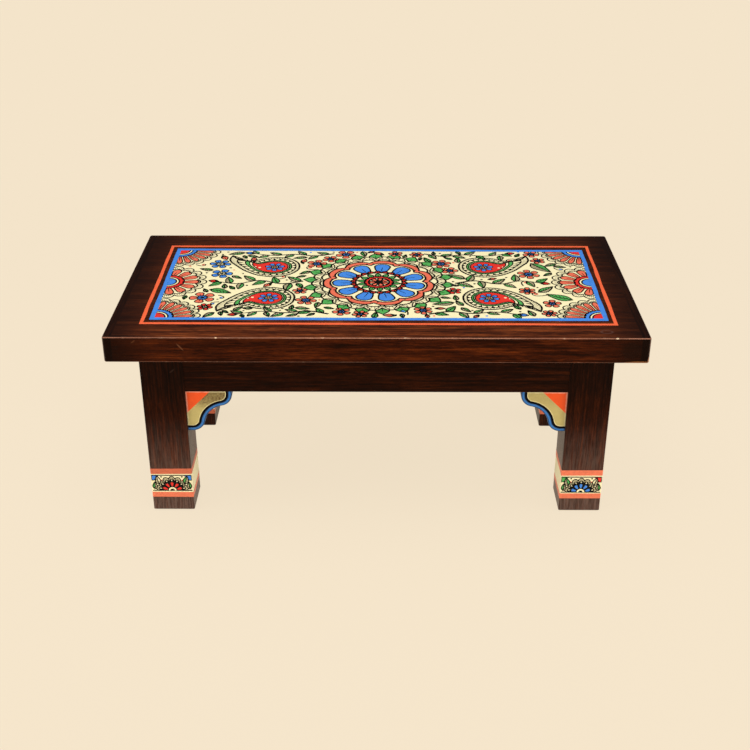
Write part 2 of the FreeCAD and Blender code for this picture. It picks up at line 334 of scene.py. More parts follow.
@dataclass(frozen=True)
class StainedWood:
    """Open-grained wood, stained dark red-brown under a satin varnish."""

    name: str
    grain: Grain
    pith: Triple
    seed: float
    tone: float
    # Painted shade: share of the colour that upright faces keep, darker than the top
    upright_shade: float = 1.0
    end_shade: float = 1.0
    # Strength of the dusty grey bloom with painted sheen on a leg's foot
    dust_and_sheen: float = 0.0
    edges: EdgeBox | None = None
    scuffs: tuple[Scuff, ...] = ()

    # Layers of the figure, and the stains, the same on all pieces
    figure = FibreLayer(0.10, 110.0, share=0.32)
    streaks = FibreLayer(0.03, 430.0, 3.0, 0.6, share=0.44)
    fibres = FibreLayer(0.03, 1500.0, 2.0, 0.5, share=0.16)
    pores = FibreLayer(0.045, 2600.0, 1.0, share=0.45)
    bloom = FibreLayer(0.06, 560.0, 3.0, 0.7)
    ring_stretch = 0.12
    ring_share = 0.08
    ring_inputs = {
        "Scale": 46.0, "Distortion": 9.0, "Detail": 3.0, "Detail Scale": 9.0, "Detail Roughness": 0.6,
    }
    stain = (
        (0.38, srgb(38, 13, 3)),
        (0.47, srgb(68, 26, 8)),
        (0.54, srgb(94, 41, 14)),
        (0.66, srgb(140, 68, 26)),
    )
    pore_stain = srgb(24, 9, 5)
    end_stain = srgb(60, 25, 12)
    # Painted shade: warmer, darker tint of upright faces
    upright_shade_tint = (0.93, 0.74, 0.50, 1.0)
    varnish_tint = (0.10, 0.06, 0.04, 1.0)
    # Dusty grey bloom with painted sheen on the legs' feet
    dust_and_sheen_colour = srgb(122, 98, 86)
    rubbed_colour = srgb(168, 116, 92)
    bare_colour = srgb(212, 172, 140)

    # Where the steps of the masks lie, those of places in metres
    pore_step = (0.63, 0.70)
    upward_step = (0.3, 0.7)
    calm_ends = (0.22, 0.28)
    dark_ends = (0.242, 0.298)
    # Painted shade of a leg towards its apron, under the top
    painted_shade_head = (0.06, 0.17)
    dust_and_sheen_foot = (-0.02, 0.13)
    # The worn line and its painted highlight are strongest on the front arris
    front_band = (0.003, 0.009)
    worn_and_highlit_width = 0.0010

    def material(self) -> Material:
        """The finish as a material.

        Returns:
            The new material.
        """
        tree = Tree(self.name)
        shift = (self.seed * 1.7, self.seed * 2.3, self.seed * 3.1)
        streaks = self.streaks.lay(tree, self.grain, shift)
        pores = tree.step(self.pores.lay(tree, self.grain, shift), *self.pore_step)
        tone = tree.times(streaks, self.streaks.share)
        tone = tree.linear(self.figure.lay(tree, self.grain, shift), self.figure.share, tone)
        tone = tree.linear(self._rings(tree), self.ring_share, tone)
        tone = tree.linear(self.fibres.lay(tree, self.grain, shift), self.fibres.share, tone)
        # Painted shade makes upright faces darker than the top; all faces also turn darker towards the short
        # ends
        upward = tree.axes(tree.normal)[2]
        side = tree.step(upward, *self.upward_step, self.upright_shade, 1.0)
        if self.end_shade < 1.0:
            outward = tree.compute("ABSOLUTE", tree.axes(tree.place)[0])
            contrast = tree.step(outward, *self.calm_ends, 1.0, 0.55)
            tone = tree.linear(tree.less(tone, 0.5), contrast, 0.5)
            side = tree.times(side, tree.step(outward, *self.dark_ends, 1.0, self.end_shade))

        wood = tree.ramp(tone, [(place, scaled(colour, self.tone)) for place, colour in self.stain])
        wood = tree.blend(tree.times(pores, self.pores.share), wood, self.pore_stain)
        wood = tree.blend(self._end_grain(tree), wood, scaled(self.end_stain, self.tone))
        wood = tree.blend(1.0, wood, side, "MULTIPLY")
        # Painted shade: upright faces tinted warmer and darker
        upright = tree.step(upward, *self.upward_step, 1.0, 0.0)
        wood = tree.blend(upright, wood, self.upright_shade_tint, "MULTIPLY")
        if self.dust_and_sheen:
            wood = self._painted_shade_and_dust(tree, wood)
        # Light line of the arrises: wear with a painted highlight
        if self.edges:
            wood = self._worn_and_highlit(tree, wood, self.edges)
        for scuff in self.scuffs:
            wood = scuff.lay(tree, wood)

        tree.bump(tree.less(tree.times(streaks, 0.5), tree.times(pores, 0.5)), 0.00012, 0.6)
        gloss = tree.linear(pores, 0.2, tree.linear(streaks, 0.22, 0.30))
        return tree.coat(wood, gloss, Specular_IOR_Level=0.45, Specular_Tint=self.varnish_tint)

    def _rings(self, tree: Tree) -> Socket:
        """Growth rings round a pith that runs along the fibres.

        Args:
            tree: The material's node tree.

        Returns:
            Socket of their value from 0 to 1.
        """
        place = tree.stretch(tree.place, self.grain.along(self.ring_stretch), self.pith)
        node = tree.add("TexWave", {"Vector": place, **self.ring_inputs}, wave_type="RINGS",
                        rings_direction=self.grain.name, wave_profile="SIN")
        return node.outputs["Fac"]

    def _end_grain(self, tree: Tree) -> Socket:
        """Mask from 0 to 1 of where the fibres end and drink more stain."""
        facing = tree.compute("ABSOLUTE", tree.axes(tree.normal)[self.grain.value])
        return tree.step(facing, 0.6, 0.9, 0.0, 0.75)

    def _painted_shade_and_dust(self, tree: Tree, wood: Socket) -> Socket:
        """Paint shade on a leg towards its apron and lay a dusty grey bloom with painted sheen over its foot.

        Args:
            tree: The material's node tree.
            wood: Socket of the wood's colour.

        Returns:
            Socket of the new colour.
        """
        raised = tree.linear(tree.noise(tree.place, 60.0), -0.03, tree.axes(tree.place)[2])
        # Painted shade towards the apron, under the top
        wood = tree.blend(1.0, wood, tree.step(raised, *self.painted_shade_head, 1.0, 0.30), "MULTIPLY")
        # Dusty grey bloom with painted sheen towards the foot
        fine = tree.step(self.bloom.lay(tree, self.grain), 0.36, 0.62, 0.50, 1.30)
        dust_and_sheen = tree.times(tree.step(raised, *self.dust_and_sheen_foot, self.dust_and_sheen, 0.0), fine)
        return tree.blend(dust_and_sheen, wood, self.dust_and_sheen_colour)

    def _worn_and_highlit(self, tree: Tree, wood: Socket, edges: EdgeBox) -> Socket:
        """Lay the light line of the arrises over the wood: worn wood with a painted highlight.

        Args:
            tree: The material's node tree.
            wood: Socket of the wood's colour.
            edges: Box whose arrises are worn and highlit.

        Returns:
            Socket of the new colour.
        """
        nicks = tree.noise(tree.place, 150.0, 4.0, 0.7)
        drift = tree.noise(tree.place, 16.0, 2.0)
        reach = tree.times(tree.step(nicks, 0.35, 0.70, 0.9, 1.15), self.worn_and_highlit_width)
        line = tree.step(tree.less(edges.edge_distance(tree), reach), -0.0003, 0.0003, 1.0, 0.0)
        share = tree.times(line, tree.step(drift, 0.35, 0.6, 0.50, 0.85))
        # Painted highlight: stronger on faces that look up and on the front arris
        share = tree.times(share, tree.step(tree.axes(tree.normal)[2], -0.6, 0.1, 0.35, 1.0))
        near, far = (width - edges.half[1] for width in self.front_band)
        share = tree.times(share, tree.step(tree.axes(tree.place)[1], near, far, 1.0, 0.12))
        bare = tree.blend(tree.step(nicks, 0.60, 0.70), self.rubbed_colour, self.bare_colour)
        return tree.blend(share, wood, bare)


@dataclass(frozen=True)
class PlainWood:
    """Sawn wood without stain or varnish."""

    name: str
    grain: Grain
    dark: Colour
    light: Colour
    seed: float = 0.0

    bands = FibreLayer(0.1, 130.0, share=0.55)
    streaks = FibreLayer(0.04, 900.0, share=0.45)
    saw_marks = FibreLayer(1.0, 700.0, 2.0, across=0.05)

    def material(self) -> Material:
        """The finish as a material.

        Returns:
            The new material.
        """
        tree = Tree(self.name)
        shift = (self.seed, self.seed * 2.0, self.seed * 3.0)
        layers = (self.bands, self.streaks, self.saw_marks)
        bands, streaks, saw = (layer.lay(tree, self.grain, shift) for layer in layers)
        tone = tree.linear(bands, self.bands.share, tree.times(streaks, self.streaks.share))
        wood = tree.ramp(tone, [(0.36, self.dark), (0.64, self.light)])
        tree.bump(tree.linear(saw, 0.6, streaks), 0.0002, 0.6)
        return tree.coat(wood, tree.linear(streaks, 0.2, 0.6), Specular_IOR_Level=0.25)


@dataclass(frozen=True)
class ZincPlate:
    """Bright zinc plating of small screws, a little yellowed."""

    name: str
    dark: Colour = srgb(150, 140, 112)
    light: Colour = srgb(196, 190, 176)

    def material(self) -> Material:
        """The finish as a material.

        Returns:
            The new material.
        """
        tree = Tree(self.name)
        cloud = tree.noise(tree.place, 700.0)
        tree.bump(tree.noise(tree.place, 4200.0, 1.0), 0.00003)
        metal = tree.ramp(cloud, [(0.35, self.dark), (0.65, self.light)])
        return tree.coat(metal, tree.step(cloud, 0.3, 0.7, 0.28, 0.46), Metallic=1.0)


@dataclass(frozen=True)
class PaintFinish:
    """Hand-brushed satin paint."""

    name: str
    colour: Colour
    slot: str
    variation: float = 0.10
    roughness: float = 0.33
    sheen: float = 0.3

    def material(self) -> Material:
        """The finish as a material, made once for each name.

        Returns:
            The material.
        """
        found = bpy.data.materials.get(self.name)
        if found:
            return found
        tree = Tree(self.name)
        cloud = tree.noise(tree.place, 150.0, 4.0, 0.6)
        brushed = tree.noise(tree.stretch(tree.place, (1.0, 0.35, 1.0)), 1100.0, 3.0, 0.6)
        tone = tree.linear(cloud, 0.65, tree.times(brushed, 0.35))
        paint = tree.ramp(tone, [
            (0.32, scaled(self.colour, 1.0 - 1.6 * self.variation)),
            (0.50, self.colour),
            (0.68, scaled(self.colour, 1.0 + 0.7 * self.variation)),
        ])
        tree.bump(tone, 0.00008)
        return tree.coat(paint, tree.linear(brushed, 0.18, self.roughness), Specular_IOR_Level=self.sheen)


class Pigment(Enum):
    """Paints on the table."""

    CREAM = PaintFinish("cream_paint", srgb(250, 238, 188), "paint_cream", 0.04)
    ORANGE = PaintFinish("orange_paint", srgb(244, 102, 58), "paint_orange", 0.10)
    PALE_ORANGE = PaintFinish("pale_orange_paint", srgb(238, 122, 86), "paint_orange", 0.12)
    # Shaded copy of the pale orange, for painted shade on some stripes
    DULL_ORANGE = PaintFinish("dull_orange_paint", srgb(206, 104, 70), "paint_orange", 0.12)
    BLUE = PaintFinish("blue_paint", srgb(66, 136, 224), "paint_blue", 0.12)
    RED = PaintFinish("red_paint", srgb(230, 48, 36), "paint_red", 0.10)
    CORAL = PaintFinish("coral_paint", srgb(236, 112, 82), "paint_coral", 0.10)
    GREEN = PaintFinish("green_paint", srgb(84, 172, 84), "paint_green", 0.14)
    GREY = PaintFinish("grey_paint", srgb(194, 182, 140), "paint_grey", 0.12)
    BLACK = PaintFinish("black_paint", srgb(16, 14, 10), "paint_black", 0.15, sheen=0.1)


def new_object(name: str, data: bpy.types.ID) -> bpy.types.Object:
    """Put a mesh, a curve, a camera or a lamp into the scene.

    Args:
        name: Name of the object.
        data: What it shows.

    Returns:
        The new object.
    """
    made = bpy.data.objects.new(name, data)
    bpy.context.scene.collection.objects.link(made)
    return made


def as_mesh(name: str, built: BMesh) -> Mesh:
    """Write out a built mesh.

    Args:
        name: Name of the mesh.
        built: The built mesh, which is freed.

    Returns:
        The new mesh.
    """
    mesh = bpy.data.meshes.new(name)
    built.to_mesh(mesh)
    built.free()
    return mesh


def finish_piece(name: str, built: BMesh, materials: list[Material]) -> bpy.types.Object:
    """Turn a built mesh in millimetres into a piece of the table.

    Args:
        name: Name of the piece.
        built: The mesh in millimetres, which is freed.
        materials: Materials in the order of the faces' indices.

    Returns:
        The new object, riding on the table.
    """
    bmesh.ops.scale(built, vec=(MM, MM, MM), verts=built.verts)
    piece = new_object(name, as_mesh(name, built))
    for material in materials:
        piece.data.materials.append(material)
    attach(piece, ROOT)
    log.info("%s: %d faces", name, len(piece.data.polygons))
    return piece


def dress(node: str, finish: StainedWood | PlainWood | ZincPlate) -> None:
    """Give a CAD node's object its finish.

    Args:
        node: Name of the node.
        finish: The finish.
    """
    material = finish.material()
    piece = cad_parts[node]
    if not piece.material_slots:
        piece.data.materials.append(material)
    for slot in piece.material_slots:
        slot.material = material
    log.info("%s: %s", node, material.name)


@dataclass
class TableTop:
    """Slab of three planks between two end lippings."""

    length: float = 610.0
    width: float = 312.0
    height: float = 250.0
    thickness: float = 31.0
    planks: tuple[str, ...] = ("front", "middle", "rear")
    # The planks darker from the front one to the rear one
    tones: Triple = (1.0, 0.95, 0.76)
    end_shades: Triple = (0.30, 0.27, 0.30)
    # Painted shade of the planks' upright faces
    upright_shade: float = 0.48
    lippings: tuple[str, ...] = ("left", "right")
    lipping_tone: float = 0.78
    # Painted shade of the lippings' upright faces
    lipping_upright_shade: float = 0.50
    lipping_shade: float = 0.24
    scuffs: tuple[Scuff, ...] = (
        Scuff((0.2672, -0.1560, 0.2498), (0.0020, 0.0015, 0.0011), srgb(232, 198, 160), 0.9),
        Scuff((-0.1780, -0.1560, 0.2498), (0.0016, 0.0014, 0.0011), srgb(228, 190, 152), 0.9),
        Scuff((0.2578, -0.1395, 0.2500), (0.0085, 0.0050, 0.0010), srgb(104, 74, 66), 0.5, 0.0, True),
        Scuff((-0.2184, -0.1560, 0.2380), (0.0010, 0.0010, 0.0066), srgb(120, 76, 50), 0.5, 41.0),
        Scuff((-0.2703, -0.1560, 0.2446), (0.0010, 0.0010, 0.0034), srgb(108, 64, 36), 0.36, -51.0),
        Scuff((0.2905, -0.1560, 0.2199), (0.0160, 0.0030, 0.0017), srgb(138, 84, 42), 0.75, 2.0),
        Scuff((0.3045, -0.1550, 0.2225), (0.0016, 0.0040, 0.0045), srgb(158, 108, 78), 0.8),
        # A dark patch on the front edge near its right end
        Scuff((0.2840, -0.1560, 0.2345), (0.0130, 0.0030, 0.0115), srgb(24, 8, 3), 0.6),
    )

    def edges(self) -> EdgeBox:
        """Box of the whole slab for the wear and painted highlight of its arrises."""
        half = (self.length / 2 * MM, self.width / 2 * MM, self.thickness / 2 * MM)
        return EdgeBox((0.0, 0.0, self.height * MM - half[2]), half)

    def build(self) -> None:
        """Dress the planks and the lippings."""
        for index, name in enumerate(self.planks):
            node = "top_plank_" + name
            pith = (0.0, 0.11 - 0.104 * index, -0.19 - 0.012 * index)
            scuffs = self.scuffs if name == "front" else ()
            wood = StainedWood(node + "_wood", Grain.X, pith, 3.0 + index, self.tones[index], self.upright_shade,
                               self.end_shades[index], edges=self.edges(), scuffs=scuffs)
            dress(node, wood)
        for index, name in enumerate(self.lippings):
            node = "end_lipping_" + name
            wood = StainedWood(node + "_wood", Grain.Y, (0.0, 0.0, -0.2), 9.0 + index, self.lipping_tone,
                               self.lipping_upright_shade, self.lipping_shade, edges=self.edges(),
                               scuffs=self.scuffs)
            dress(node, wood)


@dataclass
class FrameSide:
    """One side of the leg and apron frame, as the CAD source lays it out."""

    name: str
    turn: float
    clear_length: float
    distance: float
    corners: tuple[str, str]
    apron_bottom: float = 165.0

    def place(self) -> Matrix:
        """Matrix from the side's own frame to the table's, in millimetres."""
        moved = Matrix.Translation((0.0, -self.distance, 0.0))
        return Matrix.Rotation(math.radians(self.turn), 4, "Z") @ moved


SIDES = (
    FrameSide("front", 0.0, 446.0, 127.0, ("left", "right")),
    FrameSide("right", 90.0, 154.0, 273.0, ("front", "rear")),
    FrameSide("rear", 180.0, 446.0, 127.0, ("right", "left")),
    FrameSide("left", -90.0, 154.0, 273.0, ("rear", "front")),
)


@dataclass
class Underframe:
    """Four legs tied by four aprons, with the battens, dowels and screws."""

    apron_tone: float = 0.18
    # Front and rear legs: the rear ones darker and with less dusty sheen, as painted shade under the table
    leg_tones: tuple[float, float] = (0.42, 0.30)
    leg_dust_and_sheen: tuple[float, float] = (0.54, 0.06)
    leg_piths: tuple[float, float] = (0.25, -0.28)
    leg_mark: Scuff = Scuff(
        (-0.2358, -0.1270, 0.1927), (0.0010, 0.0020, 0.0044), srgb(56, 38, 30), 0.55, -50.0,
    )
    batten_colours: tuple[Colour, Colour] = (srgb(92, 58, 34), srgb(142, 98, 60))
    dowel_colours: tuple[Colour, Colour] = (srgb(176, 138, 92), srgb(214, 180, 132))

    def build(self) -> None:
        """Dress the legs, the aprons and all that holds them."""
        self._dress_legs()
        for number, side in enumerate(SIDES):
            node = "apron_" + side.name
            grain = Grain.X if side.name in ("front", "rear") else Grain.Y
            pith = (0.05, 0.04, -0.1 - 0.01 * number)
            dress(node, StainedWood(node + "_wood", grain, pith, 30.0 + number, self.apron_tone))
            sawn = PlainWood("batten_wood_" + side.name, grain, *self.batten_colours, 2.0 + number)
            dress("batten_" + side.name, sawn)
        dress("bracket_dowels", PlainWood("dowel_wood", Grain.X, *self.dowel_colours))
        for node in ("batten_to_apron_screws", "batten_to_top_screws"):
            dress(node, ZincPlate(node + "_plating"))

    def _dress_legs(self) -> None:
        """Dress the legs: the rear ones darker with painted shade, the front ones with dustier feet and
        painted sheen.
        """
        index = 0
        for row, tone, dust_and_sheen in zip(("front", "rear"), self.leg_tones, self.leg_dust_and_sheen):
            for end, across in zip(("left", "right"), self.leg_piths):
                index += 1
                node = f"leg_{row}_{end}"
                marks = (self.leg_mark,) if index == 1 else ()
                wood = StainedWood(node + "_wood", Grain.Z, (across, 0.02 * index, 0.0), 20.0 + index, tone,
                                   dust_and_sheen=dust_and_sheen, scuffs=marks)
                dress(node, wood)


def polar(radius: float, angle: float) -> Point:
    """Point at a radius and an angle in degrees."""
    return (radius * math.cos(math.radians(angle)), radius * math.sin(math.radians(angle)))


def sized(outline: tuple[Knot, ...], along: float, across: float) -> list[Knot]:
    """An outline with its knots scaled along and across."""
    return [(x * along, y * across, corner) for x, y, corner in outline]


def smooth_run(points: list[Point], count: int, closed: bool = False) -> list[Triple]:
    """Evenly counted places along a smooth line through points.

    Args:
        points: The points that the line passes.
        count: Number of places.
        closed: Whether the line joins up.

    Returns:
        Each place, with the line's heading there in degrees.
    """
    total = len(points)
    spans = total if closed else total - 1
    found = []
    for index in range(count):
        along = spans * index / (count if closed else count - 1)
        start = min(int(along), spans - 1)
        share = along - start
        picked = []
        for step in (-1, 0, 1, 2):
            wanted = start + step
            wanted = wanted % total if closed else max(0, min(total - 1, wanted))
            picked.append(Vector(points[wanted]))
        before, first, second, after = picked
        square, cube = share ** 2, share ** 3
        slope = (second - before) / 2
        slope_after = (after - first) / 2
        place = ((2 * cube - 3 * square + 1) * first + (cube - 2 * square + share) * slope
                 + (3 * square - 2 * cube) * second + (cube - square) * slope_after)
        heading = ((6 * square - 6 * share) * first + (3 * square - 4 * share + 1) * slope
                   + (6 * share - 6 * square) * second + (3 * square - 2 * share) * slope_after)
        heading.normalize()
        found.append((place.x, place.y, math.degrees(math.atan2(heading.y, heading.x))))
    return found


@dataclass(frozen=True)
class Spot:
    """Where a motif lies on a painted surface: a middle, a turn in degrees, a size and a side."""

    x: float = 0.0
    y: float = 0.0
    turn: float = 0.0
    size: float = 1.0
    mirrored: bool = False

    def at(self, x: float, y: float) -> Point:
        """A point of the motif as a point of the surface.

        Args:
            x: Place along the motif.
            y: Place across it.

        Returns:
            The point of the surface.
        """
        side = -y if self.mirrored else y
        cosine, sine = polar(self.size, self.turn)
        return (self.x + cosine * x - sine * side, self.y + sine * x + cosine * side)

    def inner(self, x: float, y: float, turn: float = 0.0, size: float = 1.0) -> "Spot":
        """A spot inside this one.

        Args:
            x: Place along this motif.
            y: Place across it.
            turn: Turn in degrees.
            size: Size beside this one's.

        Returns:
            The inner spot.
        """
        place = self.at(x, y)
        turned = self.turn - turn if self.mirrored else self.turn + turn
        return Spot(place[0], place[1], turned, self.size * size, self.mirrored)


@dataclass(frozen=True)
class Fill:
    """Closed shape of one paint, with any holes as further loops."""

    loops: tuple[tuple[Knot, ...], ...]

    bulge = 0.12
    gap = 0.2

    def span(self) -> Limits:
        """Low X, low Y, high X and high Y of the outer loop, with room for its curves.

        Returns:
            The four limits.
        """
        across, up, _corners = zip(*self.loops[0])
        room = self.bulge * max(max(across) - min(across), max(up) - min(up)) + self.gap
        return (min(across) - room, min(up) - room, max(across) + room, max(up) + room)


@dataclass(frozen=True)
class Stroke:
    """Line of a brush or a pen."""

    knots: tuple[Knot, ...]
    widths: Triple
    closed: bool

    def radii(self) -> list[float]:
        """Half widths at the knots.

        Returns:
            The half widths, from the start over the middle to the end.
        """
        start, middle, end = self.widths
        found = []
        for index in range(len(self.knots)):
            share = 0.5 if self.closed else index / (len(self.knots) - 1)
            first_half = start + (middle - start) * share * 2
            second_half = middle + (end - middle) * (share - 0.5) * 2
            found.append((first_half if share < 0.5 else second_half) / 2)
        return found


class Canvas:
    """Painted surface seen flat, X to the right and Y up, with paint laid in thin steps."""

    base_height = 0.08
    step_height = 0.02
    half_film = 0.03
    line_flatness = 0.11
    least_size = 0.55
    dash_taper = 0.6
    curve_steps = 4

    def __init__(self, ink: float = 2.1) -> None:
        """Start with nothing painted.

        Args:
            ink: What the widths of all lines are multiplied by.
        """
        self.ink = ink
        self.fills: dict[tuple[str, Pigment, int], list[Fill]] = {}
        self.strokes: dict[tuple[str, Pigment, int], list[Stroke]] = {}
        self.taken: list[Triple] = []

    def fill(self, pigment: Pigment, level: int, *loops: list[Knot], spot: Spot = Spot()) -> None:
        """Paint a closed shape, with any holes as further loops, some levels above the ground."""
        placed = tuple(tuple((*spot.at(x, y), corner) for x, y, corner in loop) for loop in loops)
        self.fills.setdefault(("", pigment, level), []).append(Fill(placed))

    def line(self, level: int, knots: list[Knot], spot: Spot = Spot(), closed: bool = False,
             widths: Triple = (0.5, 0.95, 0.5), group: str = "") -> None:
        """Draw a line of black ink.

        Args:
            level: How many steps it lies above the ground.
            knots: The points that it passes.
            spot: Where the line lies.
            closed: Whether it joins up.
            widths: Widths at its start, middle and end.
            group: Name of the piece that it goes into, beside the paint's.
        """
        placed = tuple((*spot.at(x, y), corner) for x, y, corner in knots)
        size = max(self.least_size, min(1.0, spot.size)) * self.ink
        widths = (widths[0] * size, widths[1] * size, widths[2] * size)
        self.strokes.setdefault((group, Pigment.BLACK, level), []).append(Stroke(placed, widths, closed))

    def dash(self, level: int, start: Point, end: Point, spot: Spot, width: float = 0.42,
             group: str = "hatching") -> None:
        """Draw a short straight line, for the hatching unless it has another group."""
        widths = (width, width, width * self.dash_taper)
        self.line(level, [(*start, True), (*end, True)], spot, widths=widths, group=group)

    def dot(self, pigment: Pigment, level: int, x: float, y: float, radius: float,
            spot: Spot = Spot()) -> None:
        """Paint a round dot."""
        loop = [(x + polar(radius, a)[0], y + polar(radius, a)[1], False) for a in (0, 90, 180, 270)]
        self.fill(pigment, level, loop, spot=spot)

    def take(self, x: float, y: float, radius: float, spot: Spot = Spot()) -> None:
        """Note a round place as painted."""
        self.taken.append((*spot.at(x, y), radius * spot.size))

    def room(self, x: float, y: float) -> float:
        """How far a point is from what is painted."""
        return min((math.hypot(x - tx, y - ty) - radius for tx, ty, radius in self.taken), default=math.inf)

    def parts(self) -> dict[tuple[str, Pigment], list[Mesh]]:
        """Meshes of all that is painted, in millimetres.

        Returns:
            The meshes, by the name of the piece and the paint.
        """
        found: dict[tuple[str, Pigment], list[Mesh]] = {}
        for (group, pigment, level), fills in self.fills.items():
            height = self.base_height + self.step_height * level
            for batch in self._batches(fills):
                mesh = self._poured(batch)
                mesh.transform(Matrix.Translation((0.0, 0.0, height - self.half_film)))
                found.setdefault((group, pigment), []).append(mesh)
        for (group, pigment, level), strokes in self.strokes.items():
            height = self.base_height + self.step_height * level
            mesh = self._drawn(strokes)
            mesh.transform(Matrix.Diagonal((1.0, 1.0, self.line_flatness, 1.0)))
            mesh.transform(Matrix.Translation((0.0, 0.0, height)))
            found.setdefault((group, pigment), []).append(mesh)
        return found

    @staticmethod
    def _batches(fills: list[Fill]) -> list[list[Fill]]:
        """Split shapes into groups whose members don't overlap.

        Args:
            fills: The shapes.

        Returns:
            The groups.
        """
        batches: list[tuple[list[Fill], list[Limits]]] = []
        for shape in fills:
            low_x, low_y, high_x, high_y = shape.span()
            for members, spans in batches:
                if all(high_x < a or low_x > c or high_y < b or low_y > d for a, b, c, d in spans):
                    members.append(shape)
                    spans.append(shape.span())
                    break
            else:
                batches.append(([shape], [shape.span()]))
        return [members for members, _spans in batches]

    def _poured(self, fills: list[Fill]) -> Mesh:
        """Mesh of flat shapes.

        Args:
            fills: Shapes that don't overlap.

        Returns:
            The mesh, its film's middle at zero height.
        """
        curve = bpy.data.curves.new("film", "CURVE")
        curve.dimensions = "2D"
        curve.fill_mode = "BOTH"
        curve.extrude = self.half_film
        for shape in fills:
            for loop in shape.loops:
                self._spline(curve, loop, [1.0] * len(loop), True)
        return self._meshed(curve)

    def _drawn(self, strokes: list[Stroke]) -> Mesh:
        """Mesh of lines.

        Args:
            strokes: The lines.

        Returns:
            The mesh, its lines' middles at zero height.
        """
        curve = bpy.data.curves.new("line", "CURVE")
        curve.dimensions = "3D"
        curve.fill_mode = "FULL"
        curve.bevel_depth = 1.0
        curve.bevel_resolution = 0
        curve.use_fill_caps = True
        curve.twist_mode = "Z_UP"
        for stroke in strokes:
            self._spline(curve, stroke.knots, stroke.radii(), stroke.closed)
        return self._meshed(curve)

    @staticmethod
    def _spline(curve: bpy.types.Curve, knots: tuple[Knot, ...], radii: list[float], closed: bool) -> None:
        """Add a smooth line to a curve.

        Args:
            curve: The curve.
            knots: The points that it passes.
            radii: Half widths at the points.
            closed: Whether it joins up.
        """
        spline = curve.splines.new("BEZIER")
        spline.bezier_points.add(len(knots) - 1)
        for point, (x, y, corner), radius in zip(spline.bezier_points, knots, radii):
            kind = "VECTOR" if corner else "AUTO"
            point.co = (x, y, 0.0)
            point.handle_left_type = kind
            point.handle_right_type = kind
            point.radius = radius
        spline.use_cyclic_u = closed

    def _meshed(self, curve: bpy.types.Curve) -> Mesh:
        """Turn a curve into a mesh.

        Args:
            curve: The curve, which is removed.

        Returns:
            The mesh.
        """
        curve.resolution_u = self.curve_steps
        holder = new_object("holder", curve)
        graph = bpy.context.evaluated_depsgraph_get()
        graph.update()
        mesh = bpy.data.meshes.new_from_object(holder.evaluated_get(graph))
        bpy.data.objects.remove(holder)
        bpy.data.curves.remove(curve)
        return mesh


@dataclass
class PaintJob:
    """Painted canvases laid on the table, gathered into one piece for each paint."""

    name: str
    most_faces: int = 90000
    merge_distance: float = 0.002
    gathered: dict[tuple[str, Pigment], list[BMesh]] = field(default_factory=dict)

    def lay(self, canvas: Canvas, place: Matrix) -> None:
        """Lay a canvas on a surface.

        Args:
            canvas: What is painted.
            place: Matrix from the canvas to the table, in millimetres.
        """
        for key, meshes in canvas.parts().items():
            piles = self.gathered.setdefault(key, [bmesh.new()])
            for mesh in meshes:
                mesh.transform(place)
                if len(piles[-1].faces) + len(mesh.polygons) > self.most_faces and piles[-1].faces:
                    piles.append(bmesh.new())
                piles[-1].from_mesh(mesh)
                bpy.data.meshes.remove(mesh)

    def build(self) -> None:
        """Turn what was gathered into pieces."""
        for (group, pigment), piles in self.gathered.items():
            for index, built in enumerate(piles):
                bmesh.ops.remove_doubles(built, verts=built.verts, dist=self.merge_distance)
                words = [self.name, pigment.name.lower(), group, str(index + 1) if len(piles) > 1 else ""]
                name = "_".join(word for word in words if word)
                finish_piece(name, built, [pigment.value.material()])


class RingKind(Enum):
    """What a ring of a rosette is made of."""

    DISC = "disc"
    SCALLOPS = "scallops"
    PETALS = "petals"
    LEAFLETS = "leaflets"
    DOTS = "dots"
    RAYS = "rays"


@dataclass(frozen=True)
class PetalShape:
    """Outline of a petal, as shares of its depth and of its half width."""

    width: float
    foot: float
    sides: tuple[Point, ...]
    pointed: bool


PETAL_SHAPES = {
    RingKind.PETALS: PetalShape(0.80, 0.62, ((0.50, 0.90), (0.86, 0.72)), False),
    RingKind.LEAFLETS: PetalShape(0.78, 0.25, ((0.45, 0.95),), True),
}


@dataclass(frozen=True)
class Ring:
    """One ring of a rosette between two radii. An offset turns scallops by a share of one."""

    kind: RingKind
    inner: float
    outer: float
    count: int = 0
    pigment: Pigment = Pigment.BLACK
    rise: int = 0
    offset: float = 0.0
    inked: bool = True


def disc(radius: float, pigment: Pigment, inked: bool = True) -> Ring:
    """A round field over the rings before it."""
    return Ring(RingKind.DISC, 0.0, radius, 0, pigment, 1, 0.0, inked)


